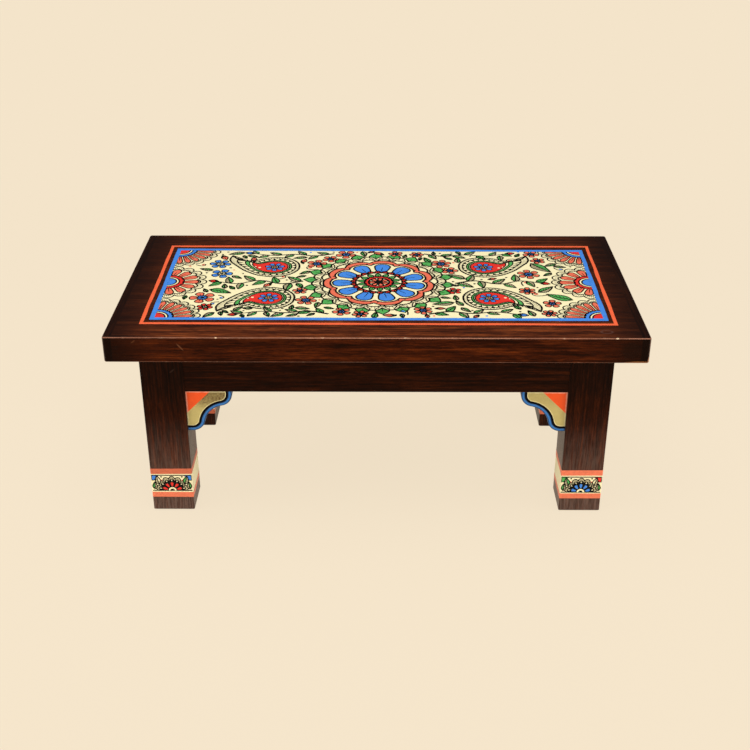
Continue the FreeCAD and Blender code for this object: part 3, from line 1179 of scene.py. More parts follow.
@dataclass(frozen=True)
class Rosette:
    """Round flower of rings, or a fan cut from one."""

    rings: tuple[Ring, ...]
    start: float = 0.0
    sweep: float = 360.0
    ink: float = 0.9

    least_veined = 9.0
    vein = (0.15, 0.62)
    vein_width = 0.6
    shoulder = 0.72
    arc_step = 30.0
    least_steps = 3

    def draw(self, canvas: Canvas, spot: Spot, level: int = 1) -> None:
        """Paint the rosette.

        Args:
            canvas: The surface.
            spot: Where it lies.
            level: Level of its first ring.
        """
        for ring in self.rings:
            level += ring.rise
            if ring.kind in (RingKind.DISC, RingKind.SCALLOPS):
                self._field(canvas, ring, spot, level)
                continue
            for index in range(ring.count):
                angle = self.start + self.sweep * ((index + 0.5) / ring.count)
                if ring.kind is RingKind.DOTS:
                    x, y = polar((ring.inner + ring.outer) / 2, angle)
                    canvas.dot(ring.pigment, level, x, y, (ring.outer - ring.inner) / 2, spot)
                elif ring.kind is RingKind.RAYS:
                    canvas.dash(level, polar(ring.inner, angle), polar(ring.outer, angle), spot)
                else:
                    self._petal(canvas, ring, spot, level, angle)

    def _field(self, canvas: Canvas, ring: Ring, spot: Spot, level: int) -> None:
        """Paint a disc or a scalloped field.

        Args:
            canvas: The surface.
            ring: The ring.
            spot: Where the rosette lies.
            level: Level of the ring.
        """
        loop = self._arc(ring.outer) if ring.kind is RingKind.DISC else self._scallops(ring)
        middle = [] if self.sweep in (180.0, 360.0) else [(0.0, 0.0, True)]
        canvas.fill(ring.pigment, level, loop + middle, spot=spot)
        if ring.inked:
            canvas.line(level, loop, spot, self.sweep >= 360, (self.ink, self.ink, self.ink))

    def _petal(self, canvas: Canvas, ring: Ring, spot: Spot, level: int, angle: float) -> None:
        """Paint a petal or a pointed leaflet, with a vein where it is large.

        Args:
            canvas: The surface.
            ring: The ring.
            spot: Where the rosette lies.
            level: Level of the ring.
            angle: Angle of the petal's middle.
        """
        shape = PETAL_SHAPES[ring.kind]
        half = self.sweep / ring.count / 2 * shape.width
        depth = ring.outer - ring.inner
        edges = []
        for side in (-1, 1):
            edge = [(*polar(ring.inner, angle + side * half * shape.foot), True)]
            for up, wide in shape.sides:
                edge.append((*polar(ring.inner + depth * up, angle + side * half * wide), False))
            edges.append(edge)
        loop = [*edges[0], (*polar(ring.outer, angle), shape.pointed), *edges[1][::-1]]
        canvas.fill(ring.pigment, level, loop, spot=spot)
        if ring.inked:
            canvas.line(level, loop, spot, True, (self.ink, self.ink * 0.85, self.ink))
        if depth * spot.size > self.least_veined:
            low, high = (polar(ring.inner + depth * share, angle) for share in self.vein)
            canvas.dash(level, low, high, spot, self.vein_width, "")

    def _arc(self, radius: float) -> list[Knot]:
        """Knots along the rosette's sweep at a radius.

        Args:
            radius: The radius.

        Returns:
            The knots, with corners at the ends of a fan.
        """
        steps = max(self.least_steps, round(self.sweep / self.arc_step))
        places = [polar(radius, self.start + self.sweep * index / steps) for index in range(steps + 1)]
        if self.sweep >= 360:
            return [(*place, False) for place in places[:-1]]
        return [(*place, index in (0, steps)) for index, place in enumerate(places)]

    def _scallops(self, ring: Ring) -> list[Knot]:
        """Outline of a scalloped ring.

        Args:
            ring: The ring, from its valleys to its peaks.

        Returns:
            The outline's knots.
        """
        step = self.sweep / ring.count
        shoulder = ring.inner + self.shoulder * (ring.outer - ring.inner)
        knots: list[Knot] = []
        for index in range(ring.count):
            angle = self.start + step * (index + ring.offset)
            knots.append((*polar(ring.inner, angle), True))
            for radius, share in ((shoulder, 0.2), (ring.outer, 0.5), (shoulder, 0.8)):
                knots.append((*polar(radius, angle + share * step), False))
        if self.sweep < 360:
            knots.append((*polar(ring.inner, self.start + self.sweep), True))
        return knots


@dataclass(frozen=True)
class Leaf:
    """Bent leaf, one half filled and the other hatched."""

    length: float
    width: float
    bend: float = 0.12

    sides = ((0.30, 1.0), (0.66, 0.74))
    cover = ((0.28, 0.3, 1.05), (0.62, 0.6, 0.92), (0.90, 0.9, 0.5))
    dash_gap = 3.0

    def _rib(self, share: float) -> float:
        """How far the middle rib is bent aside at a share of the length."""
        return self.bend * self.length * share * share

    def _side(self, half: float) -> list[Knot]:
        """Knots of one long side, half the width to one side of the rib."""
        return [(share * self.length, self._rib(share) + wide * half, False) for share, wide in self.sides]

    def draw(self, canvas: Canvas, spot: Spot, pigment: Pigment = Pigment.GREEN, level: int = 2,
             hatched: bool = True) -> None:
        """Paint the leaf.

        Args:
            canvas: The surface.
            spot: Its foot and its heading.
            pigment: Paint of the filled half.
            level: Level of its paint.
            hatched: Whether the other half is grey and hatched.
        """
        length = self.length
        half = self.width / 2
        upper = self._side(half)
        lower = self._side(-half)[::-1]
        foot = (0.0, 0.0, True)
        tip = (length, self._rib(1.0), True)
        middle = (0.5 * length, self._rib(0.5), False)
        canvas.fill(pigment, level, [foot, *upper, tip, middle], spot=spot)
        canvas.fill(Pigment.GREY if hatched else pigment, level, [foot, middle, tip, *lower], spot=spot)
        canvas.line(level + 1, [foot, *upper, tip, *lower], spot, True, (0.9, 0.9, 0.9))
        canvas.line(level + 1, [foot, middle, tip], spot, False, (1.0, 0.8, 0.4))
        dashes = max(4, round(length * spot.size / self.dash_gap))
        for index in range(dashes):
            share = 0.16 + 0.70 * index / (dashes - 1)
            wide = half * math.sin(math.pi * min(1.0, share * 0.92 + 0.06)) ** 0.7
            start = (length * share, self._rib(share))
            ahead = length * (share + 0.10)
            if hatched:
                canvas.dash(level + 1, start, (length * (share - 0.06), start[1] - 0.93 * wide), spot)
            elif index % 2:
                canvas.dash(level + 1, start, (ahead, start[1] - 0.7 * wide), spot, 0.5)
            if index % 2 == 0:
                canvas.dash(level + 1, start, (ahead, start[1] + 0.7 * wide), spot, 0.5)
        for share, bent, wide in self.cover:
            canvas.take(share * length, self._rib(bent), half * wide, spot)


@dataclass(frozen=True)
class Bud:
    """Closed flower in a green calyx."""

    length: float = 13.0
    width: float = 7.5

    flower = ((0.18, 0.0, True), (0.42, 1.0, False), (0.74, 0.72, False), (1.0, 0.0, True),
              (0.74, -0.72, False), (0.42, -1.0, False))
    sepal = ((0.0, 0.0, True), (0.20, 0.62, False), (0.52, 1.06, True), (0.30, 0.18, False))

    def draw(self, canvas: Canvas, spot: Spot, pigment: Pigment) -> None:
        """Paint the bud.

        Args:
            canvas: The surface.
            spot: Its foot and its heading.
            pigment: Paint of the flower.
        """
        half = self.width / 2
        flower = sized(self.flower, self.length, half)
        canvas.fill(pigment, 2, flower, spot=spot)
        canvas.line(2, flower, spot, True, (0.85, 0.85, 0.85))
        canvas.dash(2, (0.45 * self.length, 0.0), (0.86 * self.length, 0.0), spot, 0.6, "")
        for side in (-1, 1):
            sepal = sized(self.sepal, self.length, half * side)
            canvas.fill(Pigment.GREEN, 3, sepal, spot=spot)
            canvas.line(3, sepal, spot, True, (0.7, 0.7, 0.7))
        canvas.take(0.5 * self.length, 0.0, half * 1.2, spot)


@dataclass(frozen=True)
class Tendril:
    """Thin curling line with a berry at its end."""

    reach: float

    curl = ((0.0, 0.0, False), (0.45, 0.06, False), (0.85, 0.32, False), (0.80, 0.66, False),
            (0.52, 0.62, False), (0.56, 0.42, False))

    def draw(self, canvas: Canvas, spot: Spot, pigment: Pigment) -> None:
        """Paint the tendril.

        Args:
            canvas: The surface.
            spot: Its foot and its heading.
            pigment: Paint of the berry.
        """
        reach = self.reach
        canvas.line(2, sized(self.curl, reach, reach), spot, False, (0.9, 0.8, 0.5))
        canvas.dot(pigment, 2, 0.60 * reach, 0.50 * reach, 0.17 * reach, spot)
        canvas.take(0.55 * reach, 0.35 * reach, 0.42 * reach, spot)


@dataclass(frozen=True)
class Mango:
    """Mango-shaped drop with a curled tip and nested borders."""

    outline: tuple[Point, ...] = (
        (30.0, 43.0), (18.0, 44.5), (3.0, 36.0), (-12.0, 24.0), (-22.0, 8.0), (-22.5, -9.0), (-12.0, -22.0),
        (3.0, -25.5), (17.0, -20.0), (24.5, -7.0), (23.0, 8.0), (17.0, 20.0), (17.0, 31.0), (23.0, 39.0),
    )
    bands: tuple[tuple[float, Pigment], ...] = (
        (1.0, Pigment.CREAM), (0.86, Pigment.CREAM), (0.70, Pigment.GREEN), (0.62, Pigment.CREAM),
        (0.56, Pigment.RED),
    )
    flower: Rosette = Rosette(
        (Ring(RingKind.PETALS, 2.0, 9.6, 7, Pigment.BLUE), disc(3.4, Pigment.CREAM),
         disc(1.5, Pigment.CORAL)), ink=0.7,
    )
    dots: tuple[Triple, ...] = ((-1.0, 13.5, 1.3), (1.2, 17.5, 0.9))
    cover: tuple[Triple, ...] = (
        (0.0, -2.0, 25.0), (-8.0, 12.0, 16.0), (2.0, 26.0, 13.0), (15.0, 36.0, 8.0), (25.0, 41.0, 4.0),
    )
    hatch_count: int = 72
    tooth_count: int = 30

    def _loop(self, share: float) -> list[Knot]:
        """The outline drawn in towards the body by a share.

        Args:
            share: Share of the size that is left.

        Returns:
            The outline's knots.
        """
        bend = 1.0 - share
        knots = []
        for index, (x, y) in enumerate(self.outline):
            lift = max(0.0, y - 20.0) * bend
            knots.append((x * share - lift * 0.30, y * share - lift * 0.35, index == 0))
        return knots

    def _sides(self, share: float, count: int) -> list[Point]:
        """Evenly counted places along the outline drawn in by a share."""
        points = [(x, y) for x, y, _corner in self._loop(share)]
        return [(x, y) for x, y, _heading in smooth_run(points, count, True)]

    def draw(self, canvas: Canvas, spot: Spot) -> None:
        """Paint the drop.

        Args:
            canvas: The surface.
            spot: Where it lies.
        """
        level = 1
        for index, (share, pigment) in enumerate(self.bands):
            loop = self._loop(share)
            canvas.fill(pigment, level + index, loop, spot=spot)
            width = 1.2 if index == 0 else 0.8
            canvas.line(level + index, loop, spot, True, (width, width, width))
        for start, end in zip(self._sides(1.0, self.hatch_count), self._sides(0.87, self.hatch_count)):
            canvas.dash(level + 1, start, end, spot)
        self._teeth(canvas, spot, level + 2)
        top = level + len(self.bands)
        self.flower.draw(canvas, spot.inner(0.0, -1.5), top)
        for x, y, radius in self.dots:
            canvas.dot(Pigment.CREAM, top, x, y, radius, spot)
        for x, y, radius in self.cover:
            canvas.take(x, y, radius, spot)

    def _teeth(self, canvas: Canvas, spot: Spot, level: int) -> None:
        """A row of small dark teeth inside the second outline.

        Args:
            canvas: The surface.
            spot: Where the drop lies.
            level: Level of the teeth.
        """
        feet = self._sides(0.85, self.tooth_count * 3)
        tips = self._sides(0.71, self.tooth_count * 3)
        for index in range(0, self.tooth_count * 3, 3):
            first, second, tip = feet[index], feet[index + 2], tips[index + 1]
            if math.dist(first, second) > 1.0:
                canvas.fill(Pigment.BLACK, level, [(*first, True), (*second, True), (*tip, True)], spot=spot)


@dataclass(frozen=True)
class Branch:
    """Stem with leaves on both sides and a bud at its end."""

    points: tuple[Point, ...]
    leaves: int
    leaf: Leaf
    lean: float
    tip: Pigment
    first: float = 0.08

    last = 0.94
    steps = 60

    def draw(self, canvas: Canvas, spot: Spot, chance: random.Random) -> None:
        """Paint the branch.

        Args:
            canvas: The surface.
            spot: Where it lies.
            chance: The source of small differences.
        """
        canvas.line(1, [(x, y, False) for x, y in self.points], spot, False, (1.6, 1.2, 0.8))
        run = smooth_run(list(self.points), self.steps + 1)
        for index in range(self.leaves):
            share = self.first + (self.last - self.first) * index / (self.leaves - 1)
            x, y, heading = run[round(share * self.steps)]
            side = 1 if index % 2 else -1
            angle = heading + side * (self.lean + chance.uniform(-7, 7))
            size = chance.uniform(0.88, 1.08) * (1.0 - 0.18 * share)
            leaf_spot = spot.inner(x, y, angle, size)
            if side < 0:
                leaf_spot = replace(leaf_spot, mirrored=not leaf_spot.mirrored)
            place = leaf_spot.at(self.leaf.length * 0.6, 0.0)
            if canvas.room(*place) > -0.5:
                self.leaf.draw(canvas, leaf_spot, hatched=chance.random() < 0.72)
        for x, y, _heading in run[::4]:
            canvas.take(x, y, 1.0, spot)
        x, y, heading = run[-1]
        Bud().draw(canvas, spot.inner(x, y, heading), self.tip)



@dataclass
class TopOrnament:
    """Folk ornament on the top: border lines round a cream field full of flowers and leaves."""

    surface: float = 250.0
    centre: Point = (2.5, -1.5)
    field_half: Point = (258.0, 102.4)
    field_margin: float = 1.5
    orange: tuple[Point, ...] = ((-271.8, -120.0), (271.0, -121.0), (273.4, 120.2), (-272.4, 119.6))
    blue: tuple[Point, ...] = ((-262.3, -109.0), (262.0, -109.6), (263.4, 105.6), (-262.6, 108.6))
    orange_width: Point = (4.0, 4.6)
    blue_width: Point = (5.0, 6.4)
    blue_level: int = 14
    frame_steps: int = 10
    unevenness: float = 0.45
    mandala_radius: float = 85.0
    mango_place: Point = (133.0, 47.0)
    mango_size: float = 1.28
    passes: tuple[tuple[float, int], ...] = ((12.5, 1500), (9.0, 2500), (6.2, 3000), (4.4, 1500), (2.6, 500))
    flower_room: float = 8.0
    motif_room: float = 4.4
    most_room: float = 1.25
    seed: int = 7

    def __post_init__(self) -> None:
        """Start with nothing painted."""
        self.canvas = Canvas()
        self.chance = random.Random(self.seed)

    def build(self) -> None:
        """Paint the top."""
        self._ground()
        self._mandala()
        self._fans()
        self._mangoes()
        self._branches()
        self._scatter()
        job = PaintJob("ornament")
        job.lay(self.canvas, Matrix.Translation((*self.centre, self.surface)))
        job.build()

    def _frame(self, corners: tuple[Point, ...], width: Point, pigment: Pigment, level: int) -> None:
        """Paint a line round the field, a little uneven as a hand draws it.

        Args:
            corners: Outer corners.
            width: Width of the line on the short sides and on the long sides.
            pigment: The paint.
            level: Level of the paint.
        """
        loops = []
        for across, up in ((0.0, 0.0), width):
            places = [Vector((x - math.copysign(across, x), y - math.copysign(up, y))) for x, y in corners]
            loop: list[Knot] = []
            for start, end in zip(places, places[1:] + places[:1]):
                loop.append((start.x, start.y, True))
                sideways = (end - start).orthogonal().normalized()
                for step in range(1, self.frame_steps):
                    aside = self.chance.uniform(-self.unevenness, self.unevenness)
                    place = start.lerp(end, step / self.frame_steps) + sideways * aside
                    loop.append((place.x, place.y, False))
            loops.append(loop)
        self.canvas.fill(pigment, level, *loops)

    def _ground(self) -> None:
        """Paint the border lines and the cream field."""
        self._frame(self.orange, self.orange_width, Pigment.ORANGE, 0)
        self._frame(self.blue, self.blue_width, Pigment.BLUE, self.blue_level)
        x, y = (half + self.field_margin for half in self.field_half)
        self.canvas.fill(Pigment.CREAM, 0, [(-x, -y, True), (x, -y, True), (x, y, True), (-x, y, True)])

    def _mandala(self) -> None:
        """Paint the large rosette in the middle."""
        Rosette((
            Ring(RingKind.LEAFLETS, 72.0, 93.0, 22, Pigment.GREEN),
            Ring(RingKind.SCALLOPS, 75.0, 82.0, 22, Pigment.CREAM, 1, 0.5),
            Ring(RingKind.RAYS, 70.0, 78.0, 110),
            Ring(RingKind.SCALLOPS, 67.0, 72.0, 22, Pigment.CREAM, 1, 0.5),
            Ring(RingKind.SCALLOPS, 61.5, 68.0, 11, Pigment.CORAL, 1),
            Ring(RingKind.SCALLOPS, 53.5, 59.5, 11, Pigment.CREAM, 1),
            Ring(RingKind.DOTS, 57.6, 60.0, 44, Pigment.BLACK),
            Ring(RingKind.PETALS, 31.0, 56.5, 11, Pigment.BLUE, 1),
            Ring(RingKind.SCALLOPS, 29.5, 34.5, 22, Pigment.RED, 1),
            disc(28.5, Pigment.CREAM),
            Ring(RingKind.LEAFLETS, 16.0, 27.5, 14, Pigment.GREEN, 1),
            disc(17.5, Pigment.RED),
            disc(12.6, Pigment.CREAM),
            Ring(RingKind.PETALS, 3.5, 12.0, 7, Pigment.CORAL, 1),
            disc(4.2, Pigment.BLACK),
        ), ink=1.15).draw(self.canvas, Spot(turn=3.0))
        self.canvas.take(0.0, 0.0, self.mandala_radius)

    def _fans(self) -> None:
        """Paint half rosettes on the short sides and quarter rosettes in the corners."""
        side_rings = (
            Ring(RingKind.SCALLOPS, 42.0, 48.0, 9, Pigment.CREAM),
            Ring(RingKind.RAYS, 37.0, 45.0, 54),
            Ring(RingKind.SCALLOPS, 36.0, 40.5, 9, Pigment.CREAM, 1),
            Ring(RingKind.PETALS, 19.0, 38.5, 7, Pigment.CORAL, 1),
            disc(20.5, Pigment.RED),
            disc(14.6, Pigment.CREAM),
            disc(11.0, Pigment.BLUE),
        )
        corner_rings = (
            Ring(RingKind.SCALLOPS, 49.0, 54.0, 6, Pigment.CREAM),
            Ring(RingKind.RAYS, 43.0, 51.0, 36),
            Ring(RingKind.SCALLOPS, 43.0, 47.5, 6, Pigment.CREAM, 1),
            Ring(RingKind.PETALS, 22.0, 45.5, 6, Pigment.CORAL, 1),
            disc(23.5, Pigment.BLUE),
            disc(17.5, Pigment.CREAM),
            disc(14.0, Pigment.RED),
        )
        x, y = (half + 1.0 for half in self.field_half)
        fans = [(side * x, 0.0, side_rings, side * 90.0, 180.0, 49.0) for side in (-1, 1)]
        for side_x, side_y, start in ((-1, -1, 0.0), (1, -1, 90.0), (1, 1, 180.0), (-1, 1, 270.0)):
            fans.append((side_x * x, side_y * y, corner_rings, start, 90.0, 54.0))
        for across, up, rings, start, sweep, radius in fans:
            Rosette(rings, start, sweep).draw(self.canvas, Spot(across, up))
            self.canvas.take(across, up, radius)

    def _mangoes(self) -> None:
        """Paint four mango drops that lie between the middle and the short sides."""
        across, up = self.mango_place
        for side_x in (-1, 1):
            for side_y in (-1, 1):
                spot = Spot(side_x * across, side_y * up, side_y * 90.0, self.mango_size, side_x * side_y > 0)
                Mango().draw(self.canvas, spot)

    def _branches(self) -> None:
        """Paint leafy branches between the large motifs."""
        small = Leaf(19.0, 9.0)
        branches = (
            Branch(((93.0, -3.0), (118.0, 5.0), (146.0, -5.0), (174.0, 5.0), (196.0, -1.0)), 8,
                   Leaf(24.0, 10.5), 50.0, Pigment.RED, 0.04),
            Branch(((58.0, -92.0), (82.0, -85.0), (108.0, -90.0), (136.0, -86.0), (160.0, -92.0)), 7, small,
                   32.0, Pigment.BLUE),
            Branch(((58.0, 92.0), (82.0, 84.0), (108.0, 89.0), (136.0, 85.0), (162.0, 92.0)), 7, small,
                   32.0, Pigment.RED),
        )
        for turn in (0.0, 180.0):
            for branch in branches:
                branch.draw(self.canvas, Spot(turn=turn), self.chance)

    def _scatter(self) -> None:
        """Fill what is left of the field with flowers, leaves, buds, tendrils and dots."""
        half_x, half_y = self.field_half
        colours = (Pigment.CORAL, Pigment.BLUE, Pigment.RED, Pigment.CORAL, Pigment.CORAL)
        for least, tries in self.passes:
            for _try in range(tries):
                x = self.chance.uniform(-half_x + least, half_x - least)
                y = self.chance.uniform(-half_y + least, half_y - least)
                room = min(self.canvas.room(x, y), half_x - abs(x), half_y - abs(y))
                if room >= least:
                    self._small_motif(x, y, min(room, least * self.most_room), self.chance.choice(colours))

    def _small_motif(self, x: float, y: float, room: float, pigment: Pigment) -> None:
        """Paint one small motif in a round place.

        Args:
            x: Middle of the place.
            y: Middle of the place.
            room: Radius of the place.
            pigment: Paint of its flower.
        """
        canvas, chance = self.canvas, self.chance
        turn = chance.uniform(0.0, 360.0)
        mirrored = chance.random() < 0.5
        kind = chance.random()
        if room >= self.flower_room and kind < 0.7:
            heart = Pigment.BLUE if pigment is Pigment.CORAL else Pigment.CREAM
            petals = Ring(RingKind.PETALS, room * 0.25, room * 0.98, chance.choice((5, 6)), pigment)
            rings = (petals, disc(room * 0.38, heart), disc(room * 0.17, Pigment.BLACK, False))
            Rosette(rings).draw(canvas, Spot(x, y, turn), 2)
            canvas.take(x, y, room)
        elif room >= self.motif_room:
            length = room * 2.3
            spot = Spot(x, y, turn, 1.0, mirrored).inner(-length / 2, 0.0)
            if kind < 0.66 or room >= self.flower_room:
                Leaf(length, room * 0.95).draw(canvas, spot, hatched=chance.random() < 0.7)
            elif kind < 0.86:
                Bud(length, room * 1.05).draw(canvas, spot, pigment)
            else:
                Tendril(length * 0.95).draw(canvas, spot, pigment)
            canvas.take(x, y, room * 0.62)
        else:
            canvas.dot(chance.choice((pigment, Pigment.BLACK, Pigment.BLACK)), 2, x, y, room * 0.5)
            canvas.take(x, y, room * 0.9)


@dataclass
class LegBands:
    """Painted bands round the foot of each leg, with an ornament on the outward faces."""

    section: float = 50.0
    arris: float = 1.0
    leg_middle: Point = (248.0, 102.0)
    stripes: tuple[Point, ...] = ((19.5, 26.6), (52.3, 59.8))
    ground: Point = (26.4, 52.5)
    proud: float = 0.08
    depth: float = 0.4
    frame_inset: float = 2.2
    front_right_drop: float = -0.9
    tilt: float = 0.012
    ink: float = 1.4
    corner: Triple = (8.5, 2.5, 7.0)
    seed: int = 21

    def build(self) -> None:
        """Wrap the bands round the legs and paint the ornament."""
        grounds = bmesh.new()
        stripes = bmesh.new()
        job = PaintJob("leg_band")
        chance = random.Random(self.seed)
        faces = {side: self._ornament(chance, side > 0) for side in (-1, 1)}
        for side_x in (-1, 1):
            for side_y in (-1, 1):
                drop = self.front_right_drop if (side_x, side_y) == (1, -1) else 0.0
                middle = (side_x * self.leg_middle[0], side_y * self.leg_middle[1])
                self._sleeve(grounds, middle, self.ground, self.proud, drop)
                for level, band in enumerate(self.stripes):
                    tilt = (chance.uniform(-self.tilt, self.tilt), chance.uniform(-self.tilt, self.tilt))
                    # Painted shade: the upper stripes of the left legs and both stripes of the left rear leg
                    # in the shaded orange
                    shaded = side_x < 0 and (level == 1 or side_y > 0)
                    self._sleeve(stripes, middle, band, self.proud * 1.6, drop, tilt, int(shaded))
                moved = Matrix.Translation((0.0, 0.0, drop))
                job.lay(faces[side_x], moved @ self._face(middle, 0.0 if side_y < 0 else 180.0))
                job.lay(faces[side_y], moved @ self._face(middle, 90.0 * side_x))
        finish_piece("leg_band_grounds", grounds, [Pigment.CREAM.value.material()])
        oranges = [Pigment.PALE_ORANGE.value.material(), Pigment.DULL_ORANGE.value.material()]
        finish_piece("leg_band_stripes", stripes, oranges)
        job.build()

    def _sleeve(self, target: BMesh, middle: Point, span: Point, proud: float, drop: float,
                tilt: Point = (0.0, 0.0), paint: int = 0) -> None:
        """Add a thin sleeve round a leg.

        Args:
            target: The mesh that it is added to.
            middle: Middle of the leg.
            span: Low and high end of the sleeve.
            proud: How far it stands off the leg.
            drop: How far it is moved up.
            tilt: Its slope on X and Y.
            paint: Number of its material.
        """
        built = bmesh.new()
        bmesh.ops.create_cube(built, size=1.0)
        across = self.section + 2 * proud
        bmesh.ops.scale(built, vec=(across, across, span[1] - span[0]), verts=built.verts)
        caps = [face for face in built.faces if abs(face.normal.z) > 0.5]
        bmesh.ops.delete(built, geom=caps, context="FACES_ONLY")
        upright = [edge for edge in built.edges if abs(edge.verts[0].co.z - edge.verts[1].co.z) > 1.0]
        bmesh.ops.bevel(built, geom=upright, offset=self.arris + proud, offset_type="OFFSET", affect="EDGES",
                        segments=4, profile=0.5, material=-1)
        bmesh.ops.solidify(built, geom=built.faces[:], thickness=self.depth)
        bmesh.ops.recalc_face_normals(built, faces=built.faces)
        for face in built.faces:
            face.material_index = paint
        height = sum(span) / 2 + drop
        leaned = Matrix(((1, 0, 0, middle[0]), (0, 1, 0, middle[1]), (*tilt, 1, height), (0, 0, 0, 1)))
        bmesh.ops.transform(built, matrix=leaned, verts=built.verts)
        mesh = as_mesh("sleeve", built)
        target.from_mesh(mesh)
        bpy.data.meshes.remove(mesh)

    def _face(self, middle: Point, turn: float) -> Matrix:
        """Matrix from a canvas to the outward face of a leg's band.

        Args:
            middle: Middle of the leg.
            turn: Turn of the face about the leg, in degrees, from the front.

        Returns:
            The matrix in millimetres.
        """
        upright = Matrix.Rotation(math.radians(90.0), 4, "X")
        outward = Matrix.Translation((0.0, -self.section / 2, sum(self.ground) / 2))
        moved = Matrix.Translation((middle[0], middle[1], 0.0))
        return moved @ Matrix.Rotation(math.radians(turn), 4, "Z") @ outward @ upright

    def _ornament(self, chance: random.Random, mirrored: bool) -> Canvas:
        """Paint the band of one face.

        Args:
            chance: The source of small differences.
            mirrored: Whether the motif is drawn the other way round.

        Returns:
            The painted canvas.
        """
        canvas = Canvas(self.ink)
        petals = Pigment.BLUE if mirrored else Pigment.RED
        corners = {-1: Pigment.GREEN, 1: Pigment.RED} if mirrored else {-1: Pigment.BLUE, 1: Pigment.BLUE}
        half_x = self.section / 2 - self.arris
        half_y = (self.ground[1] - self.ground[0]) / 2 - self.frame_inset
        for side in (-1, 1):
            edge = [(-half_x, side * half_y, True), (half_x, side * half_y, True)]
            canvas.line(1, edge, widths=(1.0, 1.0, 1.0))
            top, foot, height = self.corner
            corner = [(side * half_x, half_y, True), (side * (half_x - top), half_y, True),
                      (side * (half_x - foot), half_y - height, True), (side * half_x, half_y - height, True)]
            canvas.fill(corners[side], 1, corner)
            canvas.line(1, corner, closed=True)
        Rosette((
            Ring(RingKind.SCALLOPS, 16.6, 20.0, 7, Pigment.GREY),
            Ring(RingKind.RAYS, 13.5, 18.4, 28),
            Ring(RingKind.SCALLOPS, 13.4, 16.0, 7, Pigment.CREAM, 1),
            Ring(RingKind.LEAFLETS, 12.4, 16.2, 14, Pigment.BLACK, 0, 0.0, False),
            disc(12.8, Pigment.BLACK),
            Ring(RingKind.PETALS, 5.2, 12.2, 5, petals, 1),
            disc(5.4, Pigment.CREAM),
            disc(2.6, Pigment.BLACK, False),
        ), 0.0, 180.0).draw(canvas, Spot(0.0, -half_y), 1)
        for side in (-1, 1):
            flip = -side if mirrored else side
            pigment = Pigment.GREEN if flip > 0 else Pigment.CREAM
            start = 90.0 - side * chance.uniform(20.0, 26.0)
            Leaf(12.0, 6.2, 0.1).draw(canvas, Spot(side * 15.2, -1.5, start, 1.0, side < 0), pigment, 5)
            Leaf(10.0, 5.4, 0.15).draw(canvas, Spot(side * 21.4, -8.6, 90.0 + side * 12.0, 1.0, side > 0),
                                       Pigment.GREEN, 5)
            canvas.dot(Pigment.BLACK, 1, side * 12.6, half_y - 2.2, 1.1)
            canvas.dot(Pigment.CORAL, 1, side * 12.8, 3.4, 1.3)
        return canvas


class Zone(Enum):
    """Painted zones of a bracket, as indices of its materials."""

    ORANGE = 0
    KHAKI = 1
    GOLD = 2
    BLACK = 3
    BLUE = 4


